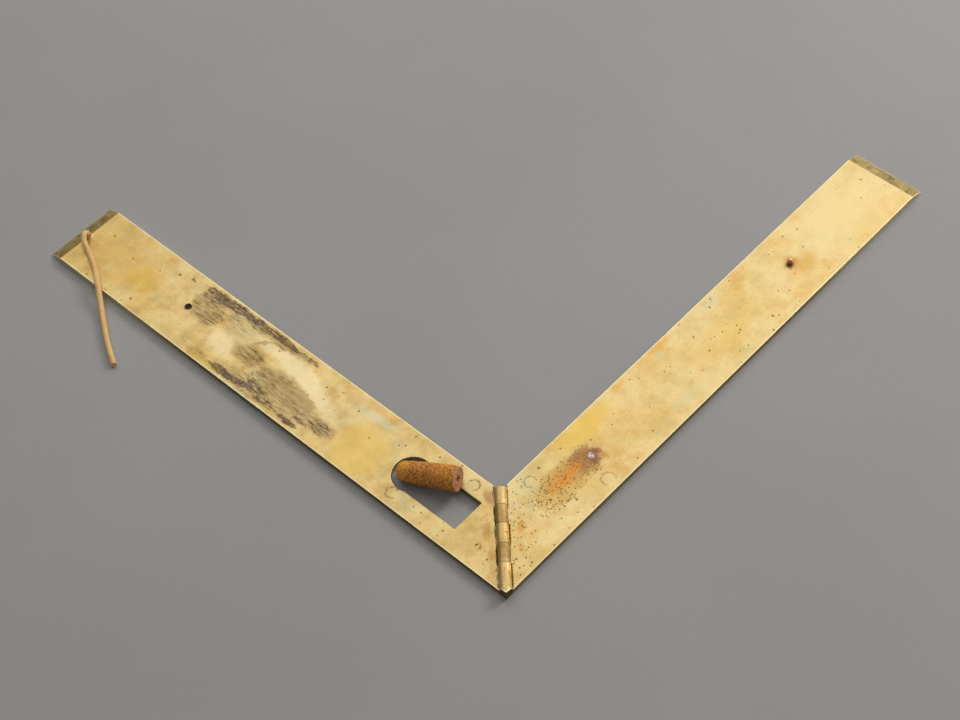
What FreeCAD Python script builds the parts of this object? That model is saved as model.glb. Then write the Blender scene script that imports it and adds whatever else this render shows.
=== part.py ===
import FreeCAD, Part
import Sketcher
import math
import os

# A folding brass square: two leaves of equal length, mitred at the corner and joined there by a
# five-knuckle hinge, so that one leaf folds up and over and lies flat on the other. Open, it lies on
# a surface and its edges make a right angle.
#
# Frame, in millimetres: the origin is the outer corner of the right angle, on the resting face. The
# right leaf runs along +X and the left leaf along +Y, their outer edges on the axes, and +Z is up.

doc = FreeCAD.newDocument("FoldingSquare")
dims = doc.addObject("Spreadsheet::Sheet", "dims")

SIZES = {
    # the two leaves
    "leaf_width": 26.0,
    "leaf_length": 204.0,
    "plate_thickness": 2.1,
    "bevel_length": 4.9,
    "bevel_edge": 0.25,
    "mitre_step": 0.14,
    # the hinge, whose barrel stands half above the top faces; stations are measured along the mitre
    "fold_gap": 0.10,
    "barrel_radius": 1.95,
    "running_gap": 0.05,
    "hinge_pin_radius": 0.80,
    "barrel_end": 37.2,
    "station_1": 30.94,
    "station_2": 24.31,
    "station_3": 17.29,
    "station_4": 10.66,
    "groove_runout": 6.0,
    # the plumb window: a slot with one square end, ending in a slightly wider drilled hole
    "window_side": 7.1,
    "window_width": 12.0,
    "window_start": 27.2,
    "window_round_centre": 50.2,
    "window_round_radius": 6.5,
    # the peg and the hole that it enters when the square is folded
    "peg_along": 151.2,
    "peg_across": 13.6,
    "peg_radius": 0.85,
    "peg_height": 2.2,
    "peg_chamfer": 0.25,
    "peg_hole_radius": 1.15,
    # the hole for the line, at the arris of the left leaf's bevel
    "cord_hole_along": 199.7,
    "cord_hole_across": 12.8,
    "cord_hole_radius": 1.15,
    "cord_diameter": 2.0,
    # the bob: a cylinder with a bored head and a rounded nose
    "bob_radius": 4.0,
    "bob_length": 20.25,
    "bob_chamfer": 0.35,
    "bob_taper_length": 6.5,
    "bob_nose_radius": 3.1,
    "bob_nose_fillet": 2.6,
    "bob_bore_radius": 1.0,
    "bob_bore_depth": 8.0,
}
for row, (alias, size) in enumerate(SIZES.items(), start=1):
    dims.set(f"A{row}", alias)
    dims.set(f"B{row}", str(size))
    dims.setAlias(f"B{row}", alias)
doc.recompute()

UP = FreeCAD.Vector(0, 0, 1)
MITRE = FreeCAD.Vector(1, 1, 0)
HINGE_HEIGHT = "dims.plate_thickness + dims.fold_gap / 2"
STATIONS = ["0", "dims.station_4", "dims.station_3", "dims.station_2", "dims.station_1", "dims.barrel_end"]
LEFT_KNUCKLES = (1, 3, 5)
RIGHT_KNUCKLES = (2, 4)


def number(expression):
    """The value in millimetres of an expression on the sheet."""
    found = dims.evalExpression(expression.replace("dims.", ""))
    return float(getattr(found, "Value", found))


def sketch_on(body, plane_role, name):
    """A sketch on one of the body's own origin planes."""
    sketch = body.newObject("Sketcher::SketchObject", name)
    plane = next(item for item in body.Origin.OriginFeatures if item.Role == plane_role)
    sketch.AttachmentSupport = [(plane, "")]
    sketch.MapMode = "FlatFace"
    return sketch


def place_point(sketch, geometry, point, x, y):
    """Ties a sketch point to the sketch's origin by two expressions."""
    for kind, axis, offset in (("DistanceX", "x", x), ("DistanceY", "y", y)):
        if number(offset) == 0:
            line = -2 if axis == "x" else -1
            sketch.addConstraint(Sketcher.Constraint("PointOnObject", geometry, point, line))
            continue
        index = sketch.addConstraint(
            Sketcher.Constraint(kind, -1, 1, geometry, point, number(offset))
        )
        sketch.setExpression(f"Constraints[{index}]", offset)


def polygon(sketch, corners):
    """A closed outline through corners, each a pair of expressions."""
    spots = [FreeCAD.Vector(number(x), number(y), 0) for x, y in corners]
    sides = []
    for start, end in zip(spots, spots[1:] + spots[:1]):
        sides.append(sketch.addGeometry(Part.LineSegment(start, end), False))
    for side, following in zip(sides, sides[1:] + sides[:1]):
        sketch.addConstraint(Sketcher.Constraint("Coincident", side, 2, following, 1))
    for side, (x, y) in zip(sides, corners):
        place_point(sketch, side, 1, x, y)


def circle(sketch, x, y, radius):
    """A circle whose centre and radius are expressions."""
    centre = FreeCAD.Vector(number(x), number(y), 0)
    index = sketch.addGeometry(Part.Circle(centre, UP, number(radius)), False)
    place_point(sketch, index, 3, x, y)
    constraint = sketch.addConstraint(Sketcher.Constraint("Radius", index, number(radius)))
    sketch.setExpression(f"Constraints[{constraint}]", radius)


def through_pocket(body, sketch, name):
    """A pocket right through the body, on both sides of its sketch."""
    pocket = body.newObject("PartDesign::Pocket", name)
    pocket.Profile = sketch
    pocket.Type = "ThroughAll"
    pocket.SideType = "Symmetric"
    return pocket


def leaf_plate(side, holes):
    """A leaf's plate, mitred at the corner and bevelled on top at its far end.

    The right leaf runs along X and the left leaf along Y, so for the left leaf every pair of
    (along, across) is swapped. holes are (name, along, across, radius) in the same order.
    """
    is_left = side == "left"

    def pair(along, across):
        return (across, along) if is_left else (along, across)

    body = doc.addObject("PartDesign::Body", f"{side}_plate")
    outline = sketch_on(body, "XY_Plane", f"{side}_outline")
    polygon(outline, [
        pair("dims.mitre_step", "0"),
        pair("dims.leaf_length", "0"),
        pair("dims.leaf_length", "dims.leaf_width"),
        pair("dims.leaf_width + dims.mitre_step", "dims.leaf_width"),
    ])
    plate = body.newObject("PartDesign::Pad", f"{side}_sheet")
    plate.Profile = outline
    plate.setExpression("Length", "dims.plate_thickness")

    bevel = sketch_on(body, "YZ_Plane" if is_left else "XZ_Plane", f"{side}_bevel_profile")
    polygon(bevel, [
        ("dims.leaf_length - dims.bevel_length", "dims.plate_thickness"),
        ("dims.leaf_length", "dims.bevel_edge"),
        ("dims.leaf_length + dims.bevel_length", "dims.bevel_edge"),
        ("dims.leaf_length + dims.bevel_length", "dims.plate_thickness + dims.bevel_length"),
        ("dims.leaf_length - dims.bevel_length", "dims.plate_thickness + dims.bevel_length"),
    ])
    through_pocket(body, bevel, f"{side}_bevel")

    for name, along, across, radius in holes:
        hole = sketch_on(body, "XY_Plane", f"{name}_circle")
        circle(hole, *pair(along, across), radius)
        through_pocket(body, hole, name)
    return body


def mitre_rod(name, radius, start, end):
    """A cylinder on the hinge axis, between two stations along the mitre."""
    rod = doc.addObject("Part::Cylinder", name)
    rod.Placement = FreeCAD.Placement(FreeCAD.Vector(), FreeCAD.Rotation(UP, MITRE))
    rod.setExpression("Radius", radius)
    rod.setExpression("Height", f"({end}) - ({start})")
    rod.setExpression("Placement.Base.x", f"({start}) * sqrt(0.5)")
    rod.setExpression("Placement.Base.y", f"({start}) * sqrt(0.5)")
    rod.setExpression("Placement.Base.z", HINGE_HEIGHT)
    return rod


def knuckle_span(number_from_inside):
    """The two stations of a knuckle. Number 1 is at the inner corner, 5 at the outer one."""
    low = len(STATIONS) - 1 - number_from_inside
    return STATIONS[low], STATIONS[low + 1]


def hinge_groove(side, own_knuckles):
    """The quarter-round groove along a leaf's mitre: snug on its own knuckles, clear of the others."""
    cutters = []
    for knuckle in range(1, len(STATIONS)):
        start, end = knuckle_span(knuckle)
        start = "-dims.groove_runout" if knuckle == len(STATIONS) - 1 else start
        end = "dims.barrel_end + dims.groove_runout" if knuckle == 1 else end
        clearance = "" if knuckle in own_knuckles else " + dims.running_gap"
        cutters.append(
            mitre_rod(f"{side}_groove_{knuckle}", f"dims.barrel_radius{clearance}", start, end)
        )
    groove = doc.addObject("Part::MultiFuse", f"{side}_groove")
    groove.Shapes = cutters
    return groove


def labelled_cut(label, base, tool):
    """base with tool removed, as a sub-part."""
    cut = doc.addObject("Part::Cut", f"{label}_shape")
    cut.Base = base
    cut.Tool = tool
    cut.Label = label
    return cut


def corner_quadrant(name):
    """The block above the right angle. The outer edges' planes are two of its faces."""
    block = doc.addObject("Part::Box", name)
    for side in ("Length", "Width", "Height"):
        block.setExpression(side, "dims.leaf_width * 2")
    return block


def filed_to_corner(label, shape):
    """shape cut off flush with both outer edges, so that it ends in a point at the corner."""
    common = doc.addObject("Part::Common", f"{label}_shape")
    common.Base = shape
    common.Tool = corner_quadrant(f"{label}_quadrant")
    common.Label = label
    return common


def left_leaf():
    """The leaf along +Y, with the plumb window, the hole for the peg and the hole for the line."""
    body = leaf_plate("left", [
        ("peg_hole", "dims.peg_along", "dims.peg_across", "dims.peg_hole_radius"),
        ("cord_hole", "dims.cord_hole_along", "dims.cord_hole_across", "dims.cord_hole_radius"),
        ("window_round", "dims.window_round_centre", "dims.window_side + dims.window_width / 2",
         "dims.window_round_radius"),
    ])
    slot = sketch_on(body, "XY_Plane", "window_slot_outline")
    polygon(slot, [
        ("dims.window_side", "dims.window_start"),
        ("dims.window_side + dims.window_width", "dims.window_start"),
        ("dims.window_side + dims.window_width", "dims.window_round_centre"),
        ("dims.window_side", "dims.window_round_centre"),
    ])
    through_pocket(body, slot, "window_slot")
    return labelled_cut("left_leaf", body, hinge_groove("left", LEFT_KNUCKLES))


def right_leaf():
    """The leaf along +X, with the hole in which the peg is riveted."""
    body = leaf_plate("right", [
        ("peg_seat", "dims.peg_along", "dims.peg_across", "dims.peg_radius"),
    ])
    return labelled_cut("right_leaf", body, hinge_groove("right", RIGHT_KNUCKLES))


def hinge_knuckle(knuckle):
    """A length of tube. The pin is tight in the left leaf's knuckles and free in the right leaf's."""
    start, end = knuckle_span(knuckle)
    is_outer = knuckle == len(STATIONS) - 1
    start = start if is_outer else f"{start} + dims.running_gap"
    end = end if knuckle == 1 else f"{end} - dims.running_gap"
    label = f"hinge_knuckle_{knuckle}"
    tube = mitre_rod(f"{label}_tube", "dims.barrel_radius", start, end)
    clearance = "" if knuckle in LEFT_KNUCKLES else " + dims.running_gap"
    bore = mitre_rod(f"{label}_bore", f"dims.hinge_pin_radius{clearance}", start, end)
    if not is_outer:
        return labelled_cut(label, tube, bore)
    return filed_to_corner(label, labelled_cut(f"{label}_whole", tube, bore))


def hinge_pin():
    """The pin through the barrel, filed to the corner with the outermost knuckle."""
    return filed_to_corner(
        "hinge_pin", mitre_rod("pin_rod", "dims.hinge_pin_radius", "0", "dims.barrel_end")
    )


def turned_body(name, corners):
    """A body turned about its own Z from half a section, given as (radius, height) corners."""
    body = doc.addObject("PartDesign::Body", name)
    section = sketch_on(body, "XZ_Plane", f"{name}_section")
    polygon(section, corners)
    turned = body.newObject("PartDesign::Revolution", f"{name}_turned")
    turned.Profile = section
    turned.ReferenceAxis = (section, ["V_Axis"])
    turned.Angle = 360
    return body


def locating_peg():
    """The peg riveted in the right leaf, its foot flush with the resting face."""
    full_height = "dims.plate_thickness + dims.peg_height"
    peg = turned_body("peg_body", [
        ("0", "0"),
        ("dims.peg_radius", "0"),
        ("dims.peg_radius", f"{full_height} - dims.peg_chamfer"),
        ("dims.peg_radius - dims.peg_chamfer", full_height),
        ("0", full_height),
    ])
    peg.Label = "locating_peg"
    peg.setExpression("Placement.Base.x", "dims.peg_along")
    peg.setExpression("Placement.Base.y", "dims.peg_across")
    return peg


# The bob lies in the window: its nose is down in the round end, on the surface that the square lies
# on, and its head leans on the window's inner side. This is the centre of the head's face and the
# direction in which the head points.
BOB_HEAD = FreeCAD.Vector(19.00, 36.07, 6.45)
BOB_TURN = math.radians(23.9)
BOB_TILT = math.radians(9.81)
BOB_AXIS = FreeCAD.Vector(
    math.sin(BOB_TURN) * math.cos(BOB_TILT),
    -math.cos(BOB_TURN) * math.cos(BOB_TILT),
    math.sin(BOB_TILT),
)


def plumb_bob():
    """The bob, turned about its own axis with its head at the body's origin."""
    bob = turned_body("bob_body", [
        ("dims.bob_bore_radius", "0"),
        ("dims.bob_radius - dims.bob_chamfer", "0"),
        ("dims.bob_radius", "-dims.bob_chamfer"),
        ("dims.bob_radius", "-dims.bob_length + dims.bob_taper_length"),
        ("dims.bob_nose_radius", "-dims.bob_length"),
        ("0", "-dims.bob_length"),
        ("0", "-dims.bob_bore_depth"),
        ("dims.bob_bore_radius", "-dims.bob_bore_depth"),
    ])
    doc.recompute()
    turned = bob.Tip
    nose_height = -number("dims.bob_length")
    rim = next(
        index for index, edge in enumerate(turned.Shape.Edges, start=1)
        if edge.Closed and abs(edge.BoundBox.ZMax - nose_height) < 1e-6
    )
    nose = bob.newObject("PartDesign::Fillet", "bob_nose")
    nose.Base = (turned, [f"Edge{rim}"])
    nose.setExpression("Radius", "dims.bob_nose_fillet")
    bob.Label = "plumb_bob"
    bob.Placement = FreeCAD.Placement(BOB_HEAD, FreeCAD.Rotation(UP, BOB_AXIS))
    return bob


# The route of the line: up out of its hole, over in a small loop, down across the leaf, over the
# outer edge and along the surface to its cut end. Each point is (x, y, z).
CORD_ROUTE = [
    (12.8, 199.7, 1.1),
    (12.8, 199.7, 3.3),
    (11.0, 199.05, 4.9),
    (9.0, 197.0, 4.0),
    (7.7, 193.4, 3.25),
    (5.6, 188.9, 3.2),
    (3.0, 184.3, 3.25),
    (-0.7, 178.8, 3.5),
    (-5.0, 173.0, 1.15),
    (-10.2, 165.4, 1.05),
    (-14.4, 158.7, 1.05),
    (-17.6, 152.7, 1.05),
]
ARC_SHARE = 0.45


def rounded_path(route):
    """Straight runs joined by tangent arcs, each as large as its two runs allow."""
    points = [FreeCAD.Vector(*point) for point in route]
    edges = []
    start = points[0]
    for before, corner, after in zip(points, points[1:], points[2:]):
        back = before - corner
        ahead = after - corner
        reach = ARC_SHARE * min(back.Length, ahead.Length)
        half_turn = (math.pi - back.getAngle(ahead)) / 2
        radius = reach / math.tan(half_turn)
        print(f"cord bend {math.degrees(2 * half_turn):5.1f} degrees, radius {radius:6.2f} mm")
        back.normalize()
        ahead.normalize()
        arc_start = corner + back * reach
        arc_end = corner + ahead * reach
        inwards = (back + ahead).normalize()
        arc_middle = corner + inwards * (radius / math.cos(half_turn) - radius)
        edges.append(Part.LineSegment(start, arc_start).toShape())
        edges.append(Part.Arc(arc_start, arc_middle, arc_end).toShape())
        start = arc_end
    edges.append(Part.LineSegment(start, points[-1]).toShape())
    return Part.Wire(edges)


def plumb_cord():
    """What is left of the line: a limp round lace, swept along its route."""
    path = rounded_path(CORD_ROUTE)
    diameter = number("dims.cord_diameter")
    start = FreeCAD.Vector(*CORD_ROUTE[0])
    heading = FreeCAD.Vector(*CORD_ROUTE[1]) - start
    section = Part.Wire(Part.makeCircle(diameter / 2, start, heading))
    lace = doc.addObject("Part::Feature", "cord_sweep")
    lace.Shape = path.makePipeShell([section], True, True)
    lace.Label = "plumb_cord"
    expected = math.pi * diameter ** 2 / 4 * path.Length
    print(f"cord length {path.Length:.1f} mm, volume {lace.Shape.Volume:.2f} of {expected:.2f} mm3")
    return lace


sub_parts = [left_leaf(), right_leaf()]
sub_parts += [hinge_knuckle(knuckle) for knuckle in range(1, len(STATIONS))]
sub_parts += [hinge_pin(), locating_peg(), plumb_bob(), plumb_cord()]
doc.recompute()

for item in doc.Objects:
    if "Invalid" in item.State or "Error" in item.State:
        raise RuntimeError(f"{item.Label} failed: {item.State}")
for part in sub_parts:
    if part.Shape.isNull() or not part.Shape.isValid():
        raise RuntimeError(f"{part.Label} has no valid shape")

os.makedirs("parts", exist_ok=True)
for part in sub_parts:
    part.Shape.exportStep(f"parts/{part.Label}.step")
    print(f"{part.Label}: {part.Shape.Volume:.1f} mm3")
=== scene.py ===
"""A folding brass square, lying open: two mitred leaves on a five-knuckle hinge, a rusty plumb bob
loose in the window of the left leaf, and what is left of its line."""
import math
import random

import bmesh
import bpy
import numpy as np
from mathutils import Matrix, Vector, noise


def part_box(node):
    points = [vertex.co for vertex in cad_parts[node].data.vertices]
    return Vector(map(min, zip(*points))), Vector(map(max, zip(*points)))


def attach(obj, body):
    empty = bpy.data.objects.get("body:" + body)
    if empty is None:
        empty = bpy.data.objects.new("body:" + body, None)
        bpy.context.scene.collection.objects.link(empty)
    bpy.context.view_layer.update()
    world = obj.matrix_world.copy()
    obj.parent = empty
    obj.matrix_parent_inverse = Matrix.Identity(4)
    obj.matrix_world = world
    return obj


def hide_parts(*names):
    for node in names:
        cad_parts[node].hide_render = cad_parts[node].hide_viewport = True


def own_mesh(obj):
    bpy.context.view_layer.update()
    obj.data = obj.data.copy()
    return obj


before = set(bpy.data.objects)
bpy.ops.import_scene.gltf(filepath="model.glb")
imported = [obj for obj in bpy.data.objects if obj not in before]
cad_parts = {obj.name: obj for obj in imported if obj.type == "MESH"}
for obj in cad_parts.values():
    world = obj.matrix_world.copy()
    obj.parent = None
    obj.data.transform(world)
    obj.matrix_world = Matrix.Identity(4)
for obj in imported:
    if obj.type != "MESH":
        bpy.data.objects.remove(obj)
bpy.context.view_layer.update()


# ------------------------------------------------------------------------------- the left leaf
# A sawn strip of rolled brass plate, mitred at the corner and filed to a bevel at the far end. It is
# pierced for the plumb window, for the peg and for the line. A century of handling has left golden
# and brown patches, and the bob's rust and old fingers have stained it dark along the middle.
# Painted shade darkens its side faces, the walls of its openings, the mouth of the peg hole, the
# angle beside the barrel, its bevel and its far end; its rubbed arrises are painted brighter as a
# highlight.
MM = 0.001
LEAF_WIDTH, LEAF_LENGTH, PLATE = 26.0, 204.0, 2.1
HINGE_HEIGHT = 2.15
EASED = 0.11


def seen(red, green, blue):
    """A colour named as it looks, 0 to 255 a channel, in linear light."""
    channels = [c / 255 for c in (red, green, blue)]
    return (*[c / 12.92 if c < 0.04 else ((c + 0.055) / 1.055) ** 2.4 for c in channels], 1.0)


def fit(tree, kind, wires=(), **settings):
    """Puts one node in a tree. wires gives its inputs, as values or as the sockets that feed them."""
    node = tree.nodes.new("ShaderNode" + kind)
    for name, value in settings.items():
        setattr(node, name, value)
    for socket, value in dict(wires).items():
        if isinstance(value, bpy.types.NodeSocket):
            tree.links.new(value, node.inputs[socket])
        else:
            node.inputs[socket].default_value = value
    return node


def reckon(tree, how, *terms, clamp=False):
    """One step of arithmetic."""
    return fit(tree, "Math", enumerate(terms), operation=how, use_clamp=clamp).outputs[0]


def ease(tree, value, start, end, low=0.0, high=1.0):
    """value, taken from start..end to low..high with soft ends."""
    wires = {"Value": value, "From Min": start, "From Max": end, "To Min": low, "To Max": high}
    return fit(tree, "MapRange", wires, interpolation_type="SMOOTHSTEP").outputs[0]


def lay(tree, share, under, over, how="MIX"):
    """One colour laid over another."""
    node = fit(tree, "Mix", {0: share, 6: under, 7: over}, data_type="RGBA", blend_type=how)
    return node.outputs[2]


def cloud(tree, place, size, stretch=(1, 1, 1), detail=3.0, rough=0.55):
    """Soft random tone about half a unit high, in patches of size metres times stretch."""
    scaled = fit(tree, "VectorMath", {0: place, 1: [1 / (size * s) for s in stretch]},
                 operation="MULTIPLY").outputs[0]
    wires = {"Vector": scaled, "Scale": 1.0, "Detail": detail, "Roughness": rough}
    return fit(tree, "TexNoise", wires).outputs["Fac"]


def shift(tree, place, offset):
    return fit(tree, "VectorMath", {0: place, 1: offset}, operation="ADD").outputs[0]


def new_group(name, inputs, outputs):
    """An empty node group with its sockets. Returns (tree, inputs by name, output node)."""
    tree = bpy.data.node_groups.new(name, "ShaderNodeTree")
    for in_out, sockets in (("INPUT", inputs), ("OUTPUT", outputs)):
        for label, kind in sockets:
            tree.interface.new_socket(label, in_out=in_out, socket_type="NodeSocket" + kind)
    return tree, tree.nodes.new("NodeGroupInput").outputs, tree.nodes.new("NodeGroupOutput").inputs


def use(tree, group, wires):
    """Places a node group in a tree, and returns its outputs."""
    node = tree.nodes.new("ShaderNodeGroup")
    node.node_tree = group
    for socket, value in wires.items():
        if isinstance(value, bpy.types.NodeSocket):
            tree.links.new(value, node.inputs[socket])
        else:
            node.inputs[socket].default_value = value
    return node.outputs


def patch_group():
    """A soft-edged oval or oblong on the surface, at a place given in metres."""
    tree, given, out = new_group(
        "patch",
        [("Place", "Vector"), ("Middle", "Vector"), ("Half Size", "Vector"), ("Turn", "Float"),
         ("Softness", "Float"), ("Squareness", "Float")],
        [("Mask", "Float")])
    off = fit(tree, "VectorMath", {0: given["Place"], 1: given["Middle"]}, operation="SUBTRACT")
    turned = fit(tree, "VectorRotate", {"Vector": off.outputs[0], "Angle": given["Turn"]},
                 rotation_type="Z_AXIS", invert=True).outputs[0]
    scaled = fit(tree, "VectorMath", {0: turned, 1: given["Half Size"]}, operation="DIVIDE").outputs[0]
    oval = fit(tree, "VectorMath", {0: scaled}, operation="LENGTH").outputs["Value"]
    sides = fit(tree, "SeparateXYZ", {
        0: fit(tree, "VectorMath", {0: scaled}, operation="ABSOLUTE").outputs[0]}).outputs
    oblong = reckon(tree, "MAXIMUM", reckon(tree, "MAXIMUM", sides[0], sides[1]), sides[2])
    reach = fit(tree, "Mix", {0: given["Squareness"], 2: oval, 3: oblong}).outputs[0]
    inner = reckon(tree, "SUBTRACT", 1.0, given["Softness"])
    tree.links.new(ease(tree, reach, inner, 1.0, 1.0, 0.0), out["Mask"])
    return tree


def pitting_group():
    """Corrosion pits strewn at random: Share of the cells hold one."""
    tree, given, out = new_group(
        "pitting", [("Place", "Vector"), ("Spacing", "Float"), ("Share", "Float"), ("Size", "Float")],
        [("Mask", "Float")])
    scale = reckon(tree, "DIVIDE", 1.0, given["Spacing"])
    cell = fit(tree, "TexVoronoi", {"Vector": given["Place"], "Scale": scale, "Randomness": 1.0})
    chance = fit(tree, "SeparateColor", {0: cell.outputs["Color"]}).outputs
    chosen = reckon(tree, "LESS_THAN", chance[0], given["Share"])
    size = reckon(tree, "MULTIPLY", given["Size"], ease(tree, chance[1], 0.0, 1.0, 0.45, 1.25))
    depth = reckon(tree, "SUBTRACT", 1.0, reckon(tree, "DIVIDE", cell.outputs["Distance"], size),
                   clamp=True)
    tree.links.new(reckon(tree, "MULTIPLY", chosen, ease(tree, depth, 0.0, 0.6)), out["Mask"])
    return tree


PATCH, PITTING = patch_group(), pitting_group()


def old_brass_group():
    """Worn, lightly tarnished brass: its colour, gloss and fine relief."""
    tree, given, out = new_group(
        "old_brass",
        [("Place", "Vector"), ("Along", "Vector"), ("Pale", "Color"), ("Gold", "Color"),
         ("Gilding", "Float"), ("Tarnish", "Float")],
        [("Color", "Color"), ("Roughness", "Float"), ("Height", "Float")])
    place = given["Place"]
    broad = cloud(tree, place, 0.021, detail=2.0)
    mottle = cloud(tree, shift(tree, place, (0.31, 0.12, 0.0)), 0.0055, detail=5.0, rough=0.62)
    grain = cloud(tree, place, 0.0006, detail=2.0)
    blush = cloud(tree, shift(tree, place, (0.7, 0.4, 0.2)), 0.009, detail=4.0)
    gilded = ease(tree, reckon(tree, "ADD", reckon(tree, "MULTIPLY", broad, 0.75),
                               reckon(tree, "MULTIPLY", mottle, 0.35)), 0.42, 0.72)
    gilded = reckon(tree, "MULTIPLY", gilded, given["Gilding"])
    colour = lay(tree, gilded, given["Pale"], given["Gold"])
    colour = lay(tree, ease(tree, blush, 0.52, 0.74, 0.0, 0.6), colour, seen(230, 180, 106))
    colour = lay(tree, ease(tree, blush, 0.46, 0.24, 0.0, 0.7), colour, seen(214, 204, 152))
    colour = lay(tree, ease(tree, grain, 0.5, 0.85, 0.0, 0.35), colour, seen(168, 138, 84))
    film = ease(tree, reckon(tree, "ADD", mottle, reckon(tree, "MULTIPLY", broad, 0.3)), 0.5, 0.95)
    film = reckon(tree, "MULTIPLY", film, given["Tarnish"], clamp=True)
    colour = lay(tree, film, colour, seen(142, 110, 62))
    rubbed = fit(tree, "VectorMath", {0: place, 1: given["Along"]}, operation="MULTIPLY").outputs[0]
    lines = fit(tree, "TexNoise", {"Vector": rubbed, "Scale": 2600.0, "Detail": 2.0}).outputs["Fac"]
    colour = lay(tree, ease(tree, lines, 0.55, 0.8, 0.0, 0.12), colour, seen(150, 122, 72))
    specks = use(tree, PITTING, {"Place": place, "Spacing": 0.0009, "Share": 0.16, "Size": 0.19})
    colour = lay(tree, reckon(tree, "MULTIPLY", specks["Mask"], 0.5), colour, seen(118, 92, 52))
    gloss = reckon(tree, "ADD", ease(tree, mottle, 0.3, 0.75, 0.37, 0.47),
                   reckon(tree, "MULTIPLY", film, 0.2))
    height = reckon(tree, "ADD", reckon(tree, "MULTIPLY", lines, 0.5),
                    reckon(tree, "MULTIPLY", grain, 0.5))
    for label, socket in (("Color", colour), ("Roughness", gloss), ("Height", height)):
        tree.links.new(socket, out[label])
    return tree


def edge_wear_and_shade_group():
    """Arrises rubbed bright and painted brighter still as a highlight, and steep flanks painted
    darker as shade: reads the rim attribute and the way a face looks.
    """
    tree, given, out = new_group(
        "edge_wear_and_shade",
        [("Place", "Vector"), ("Normal", "Vector"), ("Rim", "Float"), ("Color", "Color"),
         ("Bright", "Color"), ("Shaded Side", "Color"), ("Side Shading", "Float")],
        [("Color", "Color"), ("Worn And Lit", "Float")])
    # Steep faces are painted darker: painted shade on the sides of the plate.
    steep = fit(tree, "SeparateXYZ", {0: given["Normal"]}).outputs[2]
    flank = ease(tree, reckon(tree, "ABSOLUTE", steep), 0.985, 0.75)
    ragged = cloud(tree, given["Place"], 0.0016, detail=4.0, rough=0.7)
    side_shade = reckon(tree, "MULTIPLY", reckon(tree, "MULTIPLY", flank, given["Side Shading"]),
                  ease(tree, ragged, 0.25, 0.6, 0.72, 1.0))
    colour = lay(tree, side_shade, given["Color"], given["Shaded Side"])
    # Arrises are painted bright: rubbed wear and a painted highlight.
    rubbed = ease(tree, reckon(tree, "ADD", given["Rim"], reckon(tree, "MULTIPLY", ragged, 0.5)),
                  0.6, 0.95)
    tree.links.new(lay(tree, reckon(tree, "MULTIPLY", rubbed, 0.85), colour, given["Bright"]),
                   out["Color"])
    tree.links.new(rubbed, out["Worn And Lit"])
    return tree


OLD_BRASS, EDGE_WEAR_AND_SHADE = old_brass_group(), edge_wear_and_shade_group()


def new_material(name):
    """An empty material. Returns it, its tree and its object coordinates."""
    material = bpy.data.materials.new(name)
    material.use_nodes = True
    tree = material.node_tree
    tree.nodes.clear()
    return material, tree, fit(tree, "TexCoord").outputs


def surface(tree, sockets, height=None, relief=0.0, **fixed):
    """The shader that ends a material: sockets vary over the surface, fixed values don't."""
    shader = fit(tree, "BsdfPrincipled", sockets)
    for label, value in fixed.items():
        shader.inputs[label.replace("_", " ")].default_value = value
    if height is not None:
        bump = fit(tree, "Bump", {"Height": height, "Distance": relief, "Strength": 1.0})
        tree.links.new(bump.outputs[0], shader.inputs["Normal"])
    end = tree.nodes.new("ShaderNodeOutputMaterial")
    tree.links.new(shader.outputs[0], end.inputs[0])


def mark(tree, place, across, along, half_across, half_along, turn=0.0, soft=0.6, square=0.0,
         top=PLATE, depth=1.4):
    """A patch on a leaf's upper face, in millimetres."""
    return use(tree, PATCH, {
        "Place": place, "Middle": (across * MM, along * MM, top * MM),
        "Half Size": (half_across * MM, half_along * MM, depth * MM), "Turn": math.radians(turn),
        "Softness": soft, "Squareness": square})["Mask"]


def greatest(tree, masks):
    """The strongest of several masks at each point."""
    result = masks[0]
    for other in masks[1:]:
        result = reckon(tree, "MAXIMUM", result, other)
    return result


def ring(tree, place, x, y, radius, width, open_x, open_y):
    """Part of a faint circle, such as a wet washer leaves. It is missing on the open side."""
    outer = mark(tree, place, x, y, radius + width, radius + width, soft=0.3)
    inner = mark(tree, place, x, y, radius, radius, soft=0.4)
    gap = mark(tree, place, x + open_x, y + open_y, radius, radius, soft=0.4)
    arc = reckon(tree, "SUBTRACT", reckon(tree, "SUBTRACT", outer, inner, clamp=True), gap, clamp=True)
    return reckon(tree, "MULTIPLY", arc, ease(tree, cloud(tree, place, 0.0009), 0.35, 0.6, 0.2, 1.0))


def wander(tree, place, size, reach):
    """place, pushed about at random by up to reach, so that patches get ragged outlines."""
    scattered = fit(tree, "TexNoise", {"Vector": place, "Scale": 1 / size, "Detail": 5.0,
                                       "Roughness": 0.65}).outputs["Color"]
    centred = shift(tree, scattered, (-0.5, -0.5, -0.5))
    pushed = fit(tree, "VectorMath", {0: centred, "Scale": reach * 2}, operation="SCALE").outputs[0]
    return fit(tree, "VectorMath", {0: place, 1: pushed}, operation="ADD").outputs[0]


def beside_barrel(tree, place):
    """Painted shade in the angle along the hinge barrel, uneven in width."""
    x, y, z = fit(tree, "SeparateXYZ", {0: place}).outputs
    off = reckon(tree, "ABSOLUTE", reckon(tree, "MULTIPLY", reckon(tree, "SUBTRACT", x, y), 0.7071))
    uneven = cloud(tree, place, 0.0034, detail=4.0, rough=0.6)
    edge = ease(tree, uneven, 0.35, 0.7, 2.12 * MM, 2.42 * MM)
    return ease(tree, reckon(tree, "SUBTRACT", off, edge), 0.2 * MM, -0.12 * MM)


def pit_height(tree, fine, pits, dips):
    """Fine relief, lowered in the pits and a little in the stains."""
    sunk = reckon(tree, "MULTIPLY", pits, dips)
    return reckon(tree, "SUBTRACT", fine, sunk)


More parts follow.
